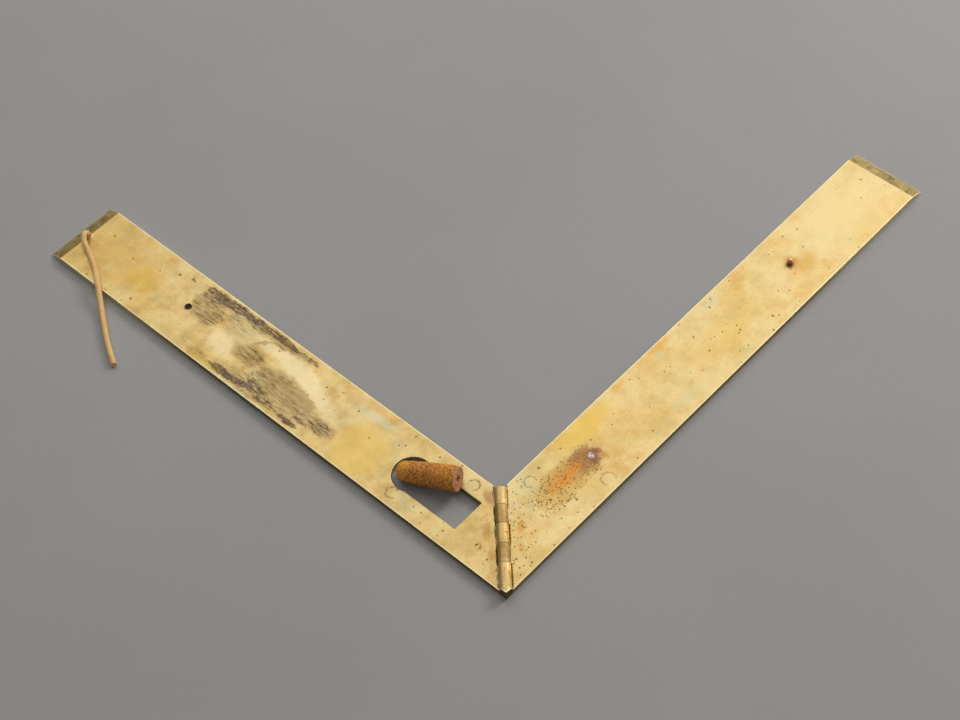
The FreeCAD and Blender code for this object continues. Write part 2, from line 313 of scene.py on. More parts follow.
def hand_worn_plate(node, name, dents, nicks, seed):
    """A leaf with eased edges, cut fine enough to be very slightly wavy, dented and nicked.

    dents are (x, y, radius, depth) on the upper face and nicks (x, y, radius, depth) at an edge.
    """
    plate = bmesh.new()
    plate.from_mesh(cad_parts[node].data)
    bmesh.ops.remove_doubles(plate, verts=plate.verts[:], dist=0.001 * MM)
    bmesh.ops.dissolve_limit(plate, angle_limit=math.radians(0.5), verts=plate.verts[:],
                             edges=plate.edges[:])

    def from_hinge(point):
        return math.hypot((point.x - point.y) * math.sqrt(0.5), point.z - HINGE_HEIGHT * MM) / MM

    sharp = [e for e in plate.edges if len(e.link_faces) == 2
             and e.calc_face_angle() > math.radians(40)
             and from_hinge((e.verts[0].co + e.verts[1].co) / 2) > 3.2]
    rims = np.array([[list(v.co) for v in e.verts] for e in sharp])
    bmesh.ops.bevel(plate, geom=sharp, offset=EASED * MM, offset_type="OFFSET", segments=3,
                    profile=0.5, affect="EDGES", clamp_overlap=False)
    bmesh.ops.triangulate(plate, faces=[f for f in plate.faces if len(f.verts) > 4])
    box_low, box_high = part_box(node)
    for axis in (0, 1):
        low, high = box_low[axis], box_high[axis]
        cells = round((high - low) / (0.8 * MM))
        cuts = [low + (high - low) * k / cells for k in range(1, cells)]
        cuts += [low + 0.22 * MM, low + 0.45 * MM, high - 0.22 * MM, high - 0.45 * MM]
        way = Vector((1, 0, 0)) if axis == 0 else Vector((0, 1, 0))
        for cut in cuts:
            bmesh.ops.bisect_plane(plate, geom=plate.verts[:] + plate.edges[:] + plate.faces[:],
                                   plane_co=way * cut, plane_no=way, dist=0.004 * MM)
    mesh = bpy.data.meshes.new(name)
    plate.to_mesh(mesh)
    plate.free()

    points = np.empty(len(mesh.vertices) * 3)
    mesh.vertices.foreach_get("co", points)
    points = points.reshape(-1, 3)
    nearest = np.full(len(points), 1.0)
    for start, end in rims:
        run = end - start
        share = np.clip((points - start) @ run / (run @ run), 0, 1)
        nearest = np.minimum(nearest, np.linalg.norm(points - start - share[:, None] * run, axis=1))
    rim = mesh.attributes.new("rim", "FLOAT", "POINT")
    rim.data.foreach_set("value", np.clip(1.35 - nearest / (0.42 * MM), 0, 1).astype(np.float32))

    on_top = points[:, 2] > (PLATE - EASED) * MM
    for x, y, radius, depth in dents:
        away = np.hypot(points[:, 0] - x * MM, points[:, 1] - y * MM) / (radius * MM)
        points[:, 2] -= on_top * depth * MM * np.clip(1 - away, 0, 1) ** 1.5
    middle = (points.min(0) + points.max(0)) / 2
    for x, y, radius, depth in nicks:
        away = np.linalg.norm(points - np.array((x, y, PLATE)) * MM, axis=1) / (radius * MM)
        inward = middle - points
        inward[:, 1 if box_high[0] - box_low[0] < 0.1 else 0] = 0
        inward /= np.linalg.norm(inward, axis=1)[:, None]
        points += inward * (depth * MM * np.clip(1 - away, 0, 1) ** 1.2)[:, None]
    for index, point in enumerate(points):
        ripple = noise.noise(Vector(point) / (14 * MM) + Vector((seed, 0, 0)))
        points[index, 2] += 0.008 * MM * ripple * (point[2] > 0.3 * MM)
    mesh.vertices.foreach_set("co", points.ravel())
    mesh.update()
    return finished(mesh, name)


def finished(mesh, name, crease=38):
    """An object of a mesh, smooth but for its creases, with flat faces kept flat."""
    mesh.polygons.foreach_set("use_smooth", [True] * len(mesh.polygons))
    mesh.set_sharp_from_angle(angle=math.radians(crease))
    piece = bpy.data.objects.new(name, mesh)
    bpy.context.scene.collection.objects.link(piece)
    weighted = piece.modifiers.new("even_normals", "WEIGHTED_NORMAL")
    weighted.keep_sharp = True
    even = bpy.data.meshes.new_from_object(piece.evaluated_get(bpy.context.evaluated_depsgraph_get()))
    piece.modifiers.remove(weighted)
    piece.data = even
    even.name = name
    return piece


def dress(piece, material, body, slot_name, *nodes):
    """Gives a piece its material, its body and the nodes that it stands for. slot_name is not used."""
    piece.data.materials.clear()
    piece.data.materials.append(material)
    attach(piece, body)
    if nodes:
        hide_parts(*nodes)
    return piece


LEFT_PALE, LEFT_GOLD = seen(230, 206, 146), seen(226, 190, 112)
LEFT_TINTS = (
    # colour, strength, (across, along, half across, half along, turn, softness)
    ((229, 195, 112), 0.85, (9.0, 69.0, 12.5, 12.0, 0, 0.45)),
    # painted shade: a darker gold over the far end of the leaf
    ((210, 174, 98), 0.8, (13.0, 190.0, 24.0, 36.0, 0, 0.9)),
    ((222, 180, 86), 0.6, (12.5, 170.0, 9.0, 10.0, 0, 0.8)),
    ((216, 209, 168), 0.7, (21.2, 73.0, 1.5, 10.5, 6, 0.6)),
    ((226, 184, 128), 0.5, (24.0, 76.0, 1.5, 11.0, 0, 0.6)),
    ((243, 222, 170), 0.95, (16.2, 98.0, 5.2, 18.0, -16, 0.5)),
    ((243, 222, 170), 0.85, (19.4, 113.0, 3.6, 18.0, 0, 0.6)),
    ((243, 220, 168), 0.85, (9.8, 132.0, 5.4, 8.5, -20, 0.6)),
    ((236, 212, 156), 0.7, (16.5, 130.0, 4.5, 9.0, -10, 0.7)),
    ((204, 176, 84), 0.7, (1.8, 132.5, 2.2, 8.0, 0, 0.7)),
    ((194, 166, 112), 0.75, (10.5, 102.0, 5.5, 15.0, -6, 0.35)),
    ((188, 146, 76), 0.75, (13.6, 20.4, 2.2, 7.5, -45, 0.8)),
    ((184, 142, 76), 0.6, (8.0, 13.0, 1.8, 6.0, -45, 0.8)),
    ((172, 132, 88), 0.75, (22.2, 27.0, 2.2, 4.6, -30, 0.8)),
    ((206, 156, 104), 0.5, (4.2, 8.2, 2.0, 2.6, -45, 0.8)),
    ((212, 132, 64), 0.7, (1.2, 177.5, 0.9, 1.7, 0, 0.8)),
    ((150, 118, 72), 0.55, (18.9, 121.4, 0.9, 6.0, 42, 0.9)),
    # painted shade: the filed bevel at the far end darkened, as it turns away from the light
    ((128, 110, 58), 0.6, (20.0, 202.5, 9.0, 2.6, 0, 0.6)),
    ((142, 118, 64), 0.5, (6.0, 202.5, 9.0, 2.6, 0, 0.6)),
)
LEFT_FILM = (
    # the brown film of handling, rubbed lengthwise: strength, then the patch
    (0.62, (9.0, 101.0, 6.0, 19.0, -6, 0.3)),
    (0.85, (7.2, 83.8, 3.6, 6.5, 0, 0.4)),
    (0.85, (11.8, 104.5, 3.4, 7.5, 0, 0.6)),
    (0.9, (12.6, 121.0, 5.0, 8.0, 0, 0.5)),
    (0.7, (4.0, 110.0, 4.6, 24.0, 0, 0.5)),
    (0.95, (17.6, 145.2, 6.6, 9.0, -24, 0.3)),
    (0.5, (19.0, 134.0, 6.0, 10.0, 0, 0.6)),
    (0.85, (23.0, 128.0, 2.7, 28.5, 0, 0.4)),
    (0.45, (2.6, 136.0, 2.0, 10.0, 0, 0.8)),
)
LEFT_INK = (
    # where that film is thick, purple-brown to nearly black
    (0.85, (23.7, 106.0, 1.6, 9.0, 0, 0.6)),
    (1.05, (23.7, 124.0, 1.7, 21.0, 0, 0.35)),
    (1.1, (23.3, 142.0, 2.2, 14.0, 0, 0.35)),
    (0.75, (21.8, 148.0, 3.4, 8.2, 0, 0.6)),
    (0.42, (18.0, 145.4, 6.0, 8.4, -24, 0.4)),
    (0.45, (19.5, 134.0, 4.0, 8.0, 0, 0.6)),
    (0.72, (7.2, 84.5, 3.4, 7.0, 0, 0.5)),
    (0.95, (4.8, 90.5, 1.4, 6.0, 0, 0.6)),
    (1.15, (2.3, 94.0, 1.6, 6.6, 0, 0.5)),
    (0.55, (11.6, 104.5, 3.6, 8.0, 0, 0.6)),
    (1.0, (5.0, 111.5, 3.8, 6.2, -20, 0.6)),
    (1.15, (3.0, 116.0, 2.4, 5.0, 20, 0.6)),
    (0.55, (12.6, 120.5, 5.0, 8.0, 0, 0.6)),
    (1.1, (2.6, 123.5, 2.2, 8.4, 0, 0.5)),
    (0.85, (2.6, 104.5, 2.6, 10.0, 0, 0.7)),
    (0.52, (6.0, 99.0, 5.6, 15.0, 0, 0.4)),
    (0.55, (9.0, 112.0, 6.0, 14.0, 0, 0.5)),
    (0.6, (3.4, 134.0, 1.8, 8.0, 0, 0.8)),
)
LEFT_PITS = (
    (23.1, 48.1, 0.55), (23.9, 59.0, 0.5), (25.2, 40.8, 0.45), (4.3, 29.4, 0.5), (1.9, 36.4, 0.38),
    (4.9, 41.9, 0.4), (4.9, 38.7, 0.4), (22.4, 158.1, 0.95), (22.1, 157.2, 0.7), (20.9, 163.0, 0.75), (3.7, 168.2, 0.7),
    (17.9, 169.5, 0.45), (2.0, 29.6, 0.35), (10.6, 35.0, 0.0), (19.6, 93.4, 0.5), (20.0, 115.2, 0.5),
    (21.5, 88.0, 0.4), (4.4, 8.0, 0.4), (3.6, 12.5, 0.35), (14.8, 85.2, 0.3), (8.9, 82.7, 0.35),
)
PIT_BROWN = seen(96, 66, 24)


def left_leaf_brass():
    material, tree, coordinates = new_material("left_leaf_brass")
    place = coordinates["Object"]
    ragged, fuzzy = wander(tree, place, 0.004, 0.0022), wander(tree, place, 0.0009, 0.00025)
    brass = use(tree, OLD_BRASS, {
        "Place": place, "Along": (1.0, 0.035, 1.0), "Pale": LEFT_PALE, "Gold": LEFT_GOLD,
        "Gilding": 0.75, "Tarnish": 0.2})
    colour = brass["Color"]
    for tint, strength, patch in LEFT_TINTS:
        spot = reckon(tree, "MULTIPLY", mark(tree, ragged, *patch), strength)
        colour = lay(tree, spot, colour, seen(*tint))
    strokes = cloud(tree, wander(tree, place, 0.01, 0.0003), 0.00026, (1.0, 22.0, 1.0), 3.0, 0.65)
    blots = cloud(tree, shift(tree, place, (0.2, 0.2, 0.0)), 0.0013, (1.0, 1.8, 1.0), 6.0, 0.7)
    softly = wander(tree, place, 0.0035, 0.0014)
    handled = greatest(tree, [reckon(tree, "MULTIPLY", mark(tree, ragged, *patch), strength)
                              for strength, patch in LEFT_FILM])
    film = reckon(tree, "MULTIPLY", handled, ease(tree, strokes, 0.34, 0.6, 0.4, 1.0))
    film = reckon(tree, "MULTIPLY", film, ease(tree, blots, 0.34, 0.56, 0.55, 1.0))
    colour = lay(tree, film, colour, seen(166, 141, 97))
    hatch = reckon(tree, "MULTIPLY", ease(tree, strokes, 0.5, 0.6, 0.0, 0.75), handled)
    colour = lay(tree, hatch, colour, seen(118, 94, 62))
    thick = greatest(tree, [reckon(tree, "MULTIPLY", mark(tree, softly, *patch), strength)
                            for strength, patch in LEFT_INK])
    crumbs = cloud(tree, shift(tree, place, (0.6, 0.0, 0.0)), 0.0006, (1.0, 2.2, 1.0), 3.0, 0.6)
    ink = reckon(tree, "ADD", reckon(tree, "MULTIPLY", thick, 0.8),
                 reckon(tree, "ADD", reckon(tree, "MULTIPLY", strokes, 0.9),
                        reckon(tree, "ADD", reckon(tree, "MULTIPLY", blots, 1.1),
                               reckon(tree, "MULTIPLY", crumbs, 1.1))))
    stained = reckon(tree, "MULTIPLY", ease(tree, ink, 1.9, 2.6), ease(tree, thick, 0.0, 0.5))
    hue = ease(tree, cloud(tree, shift(tree, place, (0.5, 0.1, 0.0)), 0.006), 0.4, 0.6)
    stain = lay(tree, hue, seen(106, 80, 52), seen(86, 68, 74))
    colour = lay(tree, reckon(tree, "MULTIPLY", stained, 0.82), colour, stain)
    # Painted shade in the angle beside the barrel.
    barrel_angle_shade = beside_barrel(tree, place)
    colour = lay(tree, reckon(tree, "MULTIPLY", barrel_angle_shade, 0.9), colour, seen(74, 54, 32))
    rings = greatest(tree, [ring(tree, fuzzy, 22.4, 33.3, 2.0, 0.5, -2.4, 0.6),
                            ring(tree, fuzzy, 4.4, 50.4, 2.2, 0.45, 0.6, -2.6)])
    colour = lay(tree, rings, colour, seen(126, 100, 56))
    crater = reckon(tree, "MULTIPLY", ring(tree, fuzzy, 6.9, 17.7, 0.65, 0.75, -0.9, 0.3),
                    ease(tree, cloud(tree, place, 0.0006, detail=2.0), 0.42, 0.52))
    # A near-black patch round the peg hole: painted shade that widens the hole's dark mouth.
    colour = lay(tree, mark(tree, fuzzy, 13.4, 151.0, 1.55, 1.4, -40, 0.25), colour, seen(34, 26, 14))
    specks = greatest(tree, [crater] + [
        mark(tree, fuzzy, x, y, size, size, soft=0.9) for x, y, size in LEFT_PITS if size])
    near_hinge = mark(tree, ragged, 13.0, 17.0, 5.0, 24.0, -45, 0.7)
    share = reckon(tree, "ADD", 0.018, reckon(tree, "MULTIPLY", near_hinge, 0.4))
    strewn = use(tree, PITTING, {"Place": place, "Spacing": 0.0013, "Share": share, "Size": 0.28})["Mask"]
    fine = use(tree, PITTING, {"Place": shift(tree, place, (0.1, 0.1, 0.0)), "Spacing": 0.0008,
                               "Share": reckon(tree, "MULTIPLY", near_hinge, 0.3), "Size": 0.3})["Mask"]
    pits = greatest(tree, [specks, strewn, reckon(tree, "MULTIPLY", fine, 0.6)])
    colour = lay(tree, reckon(tree, "MULTIPLY", pits, 0.85), colour, PIT_BROWN)
    verdigris = mark(tree, ragged, 0.0, 112.0, 0.5, 26.0, soft=0.6, top=0.9, depth=1.0)
    green = ease(tree, reckon(tree, "ADD", cloud(tree, place, 0.002, detail=4.0),
                              reckon(tree, "MULTIPLY", verdigris, 0.2)), 0.54, 0.64)
    bevel = mark(tree, place, 13.0, 202.2, 14.0, 3.1, soft=0.05, square=1.0, depth=1.95)
    blotched = cloud(tree, place, 0.0021, detail=5.0, rough=0.7)
    colour = lay(tree, reckon(tree, "MULTIPLY", bevel, ease(tree, blotched, 0.5, 0.6, 0.0, 0.6)), colour,
                 seen(158, 128, 62))
    colour = lay(tree, reckon(tree, "MULTIPLY", bevel, ease(tree, blotched, 0.46, 0.38, 0.0, 0.5)), colour,
                 seen(250, 214, 120))
    rim = fit(tree, "Attribute", attribute_name="rim").outputs["Fac"]
    window = mark(tree, place, 13.1, 41.9, 7.4, 16.2, soft=0.04, square=1.0, depth=3.0)
    opening = greatest(tree, [window, mark(tree, place, 13.6, 151.2, 2.4, 2.4, soft=0.1, depth=3.0)])
    # Arrises painted bright as rubbed wear and a painted highlight, less so round the openings. Side faces painted
    # darker as shade, darker still on the walls of the window and of the peg hole.
    rim_wear_and_highlight = reckon(tree, "MULTIPLY", rim, ease(tree, opening, 0.0, 1.0, 1.0, 0.5))
    flank = lay(tree, opening, seen(130, 106, 62), seen(98, 72, 38))
    edged = use(tree, EDGE_WEAR_AND_SHADE, {
        "Place": place, "Normal": coordinates["Normal"], "Rim": rim_wear_and_highlight, "Color": colour,
        "Bright": seen(255, 240, 190), "Shaded Side": flank, "Side Shading": 0.92})
    colour = lay(tree, reckon(tree, "MULTIPLY", green, verdigris), edged["Color"], seen(104, 176, 148))
    metal = reckon(tree, "SUBTRACT", 1.0, reckon(tree, "MULTIPLY", stained, 0.4), clamp=True)
    gloss = reckon(tree, "ADD", brass["Roughness"], reckon(tree, "MULTIPLY", stained, 0.15))
    surface(tree, {"Base Color": colour, "Roughness": gloss, "Metallic": metal},
            pit_height(tree, brass["Height"], pits, 2.0), 0.00003)
    return material


def nicks_along(seed, count, edges):
    """Small random knocks on given edges, each edge (x1, y1, x2, y2)."""
    draw = random.Random(seed)
    places = []
    for _ in range(count):
        x1, y1, x2, y2 = draw.choice(edges)
        share = draw.random()
        places.append((x1 + (x2 - x1) * share, y1 + (y2 - y1) * share,
                       draw.uniform(0.5, 1.1), draw.uniform(0.03, 0.09)))
    return places


left_leaf = hand_worn_plate(
    "left_leaf", "left_leaf_plate",
    dents=[(6.9, 17.7, 1.5, 0.12), (22.4, 158.1, 1.2, 0.06), (20.9, 163.0, 0.9, 0.05),
           (23.1, 48.1, 0.9, 0.05), (3.7, 168.2, 1.0, 0.04)],
    nicks=nicks_along(11, 26, [(0, 12, 0, 200), (26, 30, 26, 200)]), seed=3.0)
dress(left_leaf, left_leaf_brass(), "left_leaf", "left_leaf_brass", "left_leaf")


# ------------------------------------------------------------------------------ the right leaf
# The same strip, mitred the other way, with no window. Folded away for years on top of the bob, it
# has taken a print of the window in rust: pits all over it, orange and brown where the bob lay.
# Painted shade darkens its side faces, the angle beside the barrel and, over a real dark stain, the
# foot of the peg; a painted pool of light brightens its far end, and its rubbed arrises are
# painted brighter as a highlight.
PEG_ALONG, PEG_ACROSS = 151.2, 13.6
RIGHT_PALE, RIGHT_GOLD = seen(234, 210, 150), seen(231, 197, 118)
RIGHT_TINTS = (
    # colour, strength, (along, across, half along, half across, turn, softness)
    # a painted pool of light: the far end of the leaf paler, as it lies towards the lamp
    ((238, 216, 158), 0.7, (178.0, 15.0, 34.0, 18.0, 0, 0.8)),
    ((236, 198, 102), 0.9, (60.0, 22.0, 17.0, 6.0, 0, 0.7)),
    ((232, 198, 116), 0.5, (112.0, 12.0, 22.0, 9.0, 0, 0.8)),
    ((234, 184, 96), 0.7, (79.0, 24.4, 5.0, 1.6, 0, 0.8)),
    ((234, 182, 92), 0.75, (97.0, 24.4, 11.0, 1.9, 0, 0.8)),
    ((212, 204, 158), 0.5, (88.0, 5.0, 10.0, 2.6, 0, 0.8)),
    ((216, 208, 170), 0.5, (122.0, 23.0, 8.0, 1.8, 0, 0.8)),
    ((210, 158, 78), 0.7, (20.5, 12.8, 4.6, 1.8, 45, 0.8)),
    ((214, 166, 88), 0.6, (15.0, 7.4, 3.6, 1.3, 45, 0.8)),
    ((196, 180, 176), 0.7, (24.7, 19.3, 1.0, 1.0, 0, 0.8)),
    ((196, 182, 178), 0.6, (21.7, 18.0, 0.8, 0.8, 0, 0.8)),
    ((190, 132, 56), 0.9, (151.4, 13.6, 4.2, 4.0, 0, 0.9)),
    ((218, 168, 80), 0.75, (155.0, 9.8, 8.0, 4.4, 30, 0.9)),
    ((226, 158, 88), 0.8, (148.8, 10.0, 1.2, 1.0, 0, 0.8)),
    ((182, 164, 108), 0.7, (149.2, 12.0, 1.2, 0.9, 45, 0.8)),
)
RUST_PRINT = (
    ((218, 182, 108), 0.8, (42.0, 13.3, 15.8, 6.8, 0, 0.3)),
    ((212, 160, 88), 0.75, (44.0, 14.2, 13.5, 5.6, 0, 0.8)),
    ((176, 128, 78), 0.85, (51.4, 14.4, 8.0, 7.0, 0, 0.8)),
    ((228, 160, 74), 0.9, (42.5, 13.8, 12.0, 3.2, 3, 0.95)),
    ((230, 146, 58), 0.6, (45.0, 14.6, 7.0, 2.0, -4, 0.9)),
    ((146, 106, 86), 0.85, (54.2, 13.0, 4.2, 3.8, 0, 0.9)),
    ((190, 122, 60), 0.5, (56.0, 11.0, 2.6, 3.4, 0, 0.9)),
    ((232, 218, 212), 0.85, (53.4, 13.5, 1.5, 1.4, 0, 0.8)),
)
RIGHT_PITS = (
    (11.2, 6.2, 0.6), (12.2, 1.5, 0.45), (29.4, 1.35, 0.4), (39.8, 0.8, 0.4), (30.4, 5.4, 0.4),
    (38.4, 6.4, 0.7), (33.2, 12.2, 0.8), (49.1, 22.3, 0.45), (57.5, 17.4, 0.45), (39.5, 22.6, 0.7),
    (72.3, 5.1, 0.5), (94.4, 16.6, 0.4), (91.8, 16.7, 0.35), (108.1, 18.4, 0.6), (107.1, 11.2, 0.5),
    (96.7, 10.2, 0.35), (99.8, 8.0, 0.35), (119.8, 9.1, 0.6), (120.4, 11.0, 0.45), (118.6, 8.6, 0.45),
    (130.7, 4.7, 0.75), (132.3, 3.3, 0.5), (126.4, 1.0, 0.6), (120.6, 22.0, 0.6), (123.5, 24.1, 0.5),
    (133.1, 24.1, 0.5), (78.5, 11.5, 0.35), (112.6, 13.5, 0.35), (158.6, 22.3, 0.55),
    (164.1, 20.6, 0.5), (159.4, 14.6, 0.5), (149.8, 21.1, 0.35), (151.6, 20.7, 0.35),
    (142.2, 7.0, 0.42), (194.5, 17.7, 0.6), (197.6, 10.2, 0.4), (171.6, 5.0, 0.3), (84.8, 21.2, 0.4),
)


def right_leaf_brass():
    material, tree, coordinates = new_material("right_leaf_brass")
    place = coordinates["Object"]
    ragged, fuzzy = wander(tree, place, 0.004, 0.002), wander(tree, place, 0.0009, 0.00025)
    brass = use(tree, OLD_BRASS, {
        "Place": shift(tree, place, (1.7, 0.9, 0.0)), "Along": (0.035, 1.0, 1.0),
        "Pale": RIGHT_PALE, "Gold": RIGHT_GOLD, "Gilding": 0.7, "Tarnish": 0.13})
    colour = brass["Color"]
    freckle = cloud(tree, shift(tree, place, (0.0, 0.3, 0.0)), 0.0007, detail=5.0, rough=0.75)
    for tint, strength, patch in RIGHT_TINTS + RUST_PRINT:
        spot = mark(tree, ragged, *patch)
        if (tint, strength, patch) in RUST_PRINT:
            spot = ease(tree, reckon(tree, "ADD", spot, reckon(tree, "MULTIPLY", freckle, 1.5)), 0.75, 1.6)
            spot = reckon(tree, "MULTIPLY", spot, ease(tree, mark(tree, ragged, *patch), 0.0, 0.25))
        spot = reckon(tree, "MULTIPLY", spot, strength)
        colour = lay(tree, spot, colour, seen(*tint))
    rings = greatest(tree, [ring(tree, fuzzy, 34.2, 21.2, 2.1, 0.5, 0.4, -2.6),
                            ring(tree, fuzzy, 50.2, 4.0, 2.5, 0.45, 0.0, -3.0)])
    colour = lay(tree, reckon(tree, "MULTIPLY", rings, 0.8), colour, seen(142, 116, 68))
    under_window = mark(tree, ragged, 41.8, 13.3, 16.2, 7.0, soft=0.35, square=0.7)
    near_hinge = mark(tree, ragged, 20.0, 13.0, 24.0, 7.0, 45, 0.7)
    eaten = greatest(tree, [under_window, reckon(tree, "MULTIPLY", near_hinge, 0.28)])
    share = reckon(tree, "ADD", 0.034, reckon(tree, "MULTIPLY", eaten, 0.5))
    coarse = use(tree, PITTING, {"Place": place, "Spacing": 0.0011, "Share": share, "Size": 0.3})["Mask"]
    fine = use(tree, PITTING, {"Place": shift(tree, place, (0.1, 0.1, 0.0)), "Spacing": 0.00074,
                               "Share": reckon(tree, "MULTIPLY", eaten, 1.2), "Size": 0.46})["Mask"]
    specks = greatest(tree, [mark(tree, fuzzy, x, y, size, size, soft=0.9) for x, y, size in RIGHT_PITS])
    pits = greatest(tree, [specks, coarse, reckon(tree, "MULTIPLY", fine, 0.8)])
    # A dark patch at the peg's foot, set off towards the outer corner: a real dark stain with the painted shadow of the
    # peg.
    foot = mark(tree, fuzzy, PEG_ALONG - 0.5, PEG_ACROSS - 0.2, 1.9, 1.8, soft=0.5)
    colour = lay(tree, reckon(tree, "MULTIPLY", foot, 0.75), colour, seen(104, 86, 48))
    # Painted shade in the angle beside the barrel.
    barrel_angle_shade = beside_barrel(tree, place)
    colour = lay(tree, reckon(tree, "MULTIPLY", barrel_angle_shade, 0.7), colour, seen(96, 72, 42))
    rusty = mark(tree, ragged, 48.5, 13.8, 10.5, 6.5, soft=0.7)
    pit_colour = lay(tree, rusty, PIT_BROWN, seen(150, 92, 38))
    colour = lay(tree, reckon(tree, "MULTIPLY", pits, 0.85), colour, pit_colour)
    bevel = mark(tree, place, 202.2, 13.0, 3.1, 14.0, soft=0.05, square=1.0, depth=1.95)
    blotched = cloud(tree, place, 0.0021, detail=5.0, rough=0.7)
    colour = lay(tree, reckon(tree, "MULTIPLY", bevel, ease(tree, blotched, 0.5, 0.6, 0.0, 0.6)), colour,
                 seen(158, 128, 62))
    colour = lay(tree, reckon(tree, "MULTIPLY", bevel, ease(tree, blotched, 0.46, 0.38, 0.0, 0.5)), colour,
                 seen(250, 214, 120))
    rim = fit(tree, "Attribute", attribute_name="rim").outputs["Fac"]
    seat = mark(tree, place, PEG_ALONG, PEG_ACROSS, 2.4, 2.4, soft=0.1, depth=3.0)
    # Arrises painted bright as rubbed wear and a painted highlight, but not round the peg. Side faces painted darker as
    # shade.
    rim_wear_and_highlight = reckon(tree, "MULTIPLY", rim, ease(tree, seat, 0.0, 0.5, 1.0, 0.0))
    edged = use(tree, EDGE_WEAR_AND_SHADE, {
        "Place": place, "Normal": coordinates["Normal"], "Rim": rim_wear_and_highlight, "Color": colour,
        "Bright": seen(255, 240, 192), "Shaded Side": seen(146, 120, 72), "Side Shading": 0.85})
    metal = reckon(tree, "SUBTRACT", 1.0, reckon(tree, "MULTIPLY", rusty, 0.35), clamp=True)
    gloss = reckon(tree, "ADD", brass["Roughness"], reckon(tree, "MULTIPLY", eaten, 0.06))
    surface(tree, {"Base Color": edged["Color"], "Roughness": gloss, "Metallic": metal},
            pit_height(tree, brass["Height"], pits, 1.6), 0.00003)
    return material


right_leaf = hand_worn_plate(
    "right_leaf", "right_leaf_plate",
    dents=[(33.2, 12.2, 1.1, 0.06), (38.4, 6.4, 1.0, 0.05), (130.7, 4.7, 1.0, 0.06),
           (108.1, 18.4, 0.9, 0.04), (39.5, 22.6, 1.0, 0.05)],
    nicks=nicks_along(12, 26, [(12, 0, 200, 0), (30, 26, 200, 26)]) + [(103.5, 26.0, 1.3, 0.16)],
    seed=8.0)
dress(right_leaf, right_leaf_brass(), "right_leaf", "right_leaf_brass", "right_leaf")


# -------------------------------------------------------------------------- the hinge knuckles
# Five lengths of drawn brass tube in line along the mitre. They are soldered in turn to one leaf and
# the other, 1, 3 and 5 to the left. The outermost is filed off flush with both outer edges.
BARREL, BORE, PIN = 1.95, 0.80, 0.80
STATIONS = (0.0, 10.66, 17.29, 24.31, 30.94, 37.2)
GAP = 0.05
ALONG_MITRE = Vector((1, 1, 0)).normalized()
HINGE_MIDDLE = Vector((0, 0, HINGE_HEIGHT)) * MM


def turned_mesh(profile, origin, axis, around, closed, wobble=None):
    """A bmesh turned about an axis from (radius, height) points in millimetres.

    A closed profile is a tube's section. An open one starts and ends on the axis. wobble changes a
    radius in millimetres, given (radius, height, angle).
    """
    body = bmesh.new()
    frame_of_axis = axis.to_track_quat("Z", "Y").to_matrix()

    def point(radius, height, angle):
        if wobble is not None and radius > 0:
            radius = wobble(radius, height, angle)
        local = Vector((radius * math.cos(angle), radius * math.sin(angle), height)) * MM
        return origin + frame_of_axis @ local

    angles = [math.tau * k / around for k in range(around)]
    rings = []
    for radius, height in profile:
        if radius < 1e-6:
            rings.append([body.verts.new(point(0, height, 0))])
        else:
            rings.append([body.verts.new(point(radius, height, angle)) for angle in angles])
    pairs = list(zip(rings, rings[1:])) + ([(rings[-1], rings[0])] if closed else [])
    for first, second in pairs:
        for k in range(around):
            corners = [first[k % len(first)], first[(k + 1) % len(first)],
                       second[(k + 1) % len(second)], second[k % len(second)]]
            corners = list(dict.fromkeys(corners))
            if len(corners) > 2:
                body.faces.new(corners)
    bmesh.ops.recalc_face_normals(body, faces=body.faces[:])
    return body


def stepped(start, end, step):
    """Even heights from start to end, about step apart."""
    count = max(1, round(abs(end - start) / step))
    return [start + (end - start) * k / count for k in range(count + 1)]


def file_to_corner(body):
    """Cuts a turned body off along the planes of both outer edges, and closes the cuts."""
    for way in (Vector((1, 0, 0)), Vector((0, 1, 0))):
        cut = bmesh.ops.bisect_plane(
            body, geom=body.verts[:] + body.edges[:] + body.faces[:], dist=1e-7,
            plane_co=Vector((0, 0, 0)), plane_no=way, clear_inner=True)
        rim = [e for e in cut["geom_cut"] if isinstance(e, bmesh.types.BMEdge)]
        bmesh.ops.triangle_fill(body, use_beauty=True, use_dissolve=False, edges=rim)
    bmesh.ops.remove_doubles(body, verts=body.verts[:], dist=1e-7)
    bmesh.ops.recalc_face_normals(body, faces=body.faces[:])


def piece_from(body, name, crease=38):
    mesh = bpy.data.meshes.new(name)
    body.to_mesh(mesh)
    body.free()
    return finished(mesh, name, crease)


def turn_of(direction, axis):
    """The angle at which a direction stands round an axis, as turned_mesh counts it."""
    local = axis.to_track_quat("Z", "Y").to_matrix().inverted() @ direction
    return math.atan2(local.y, local.x)


TOP_TURN = turn_of(Vector((0, 0, 1)), ALONG_MITRE)


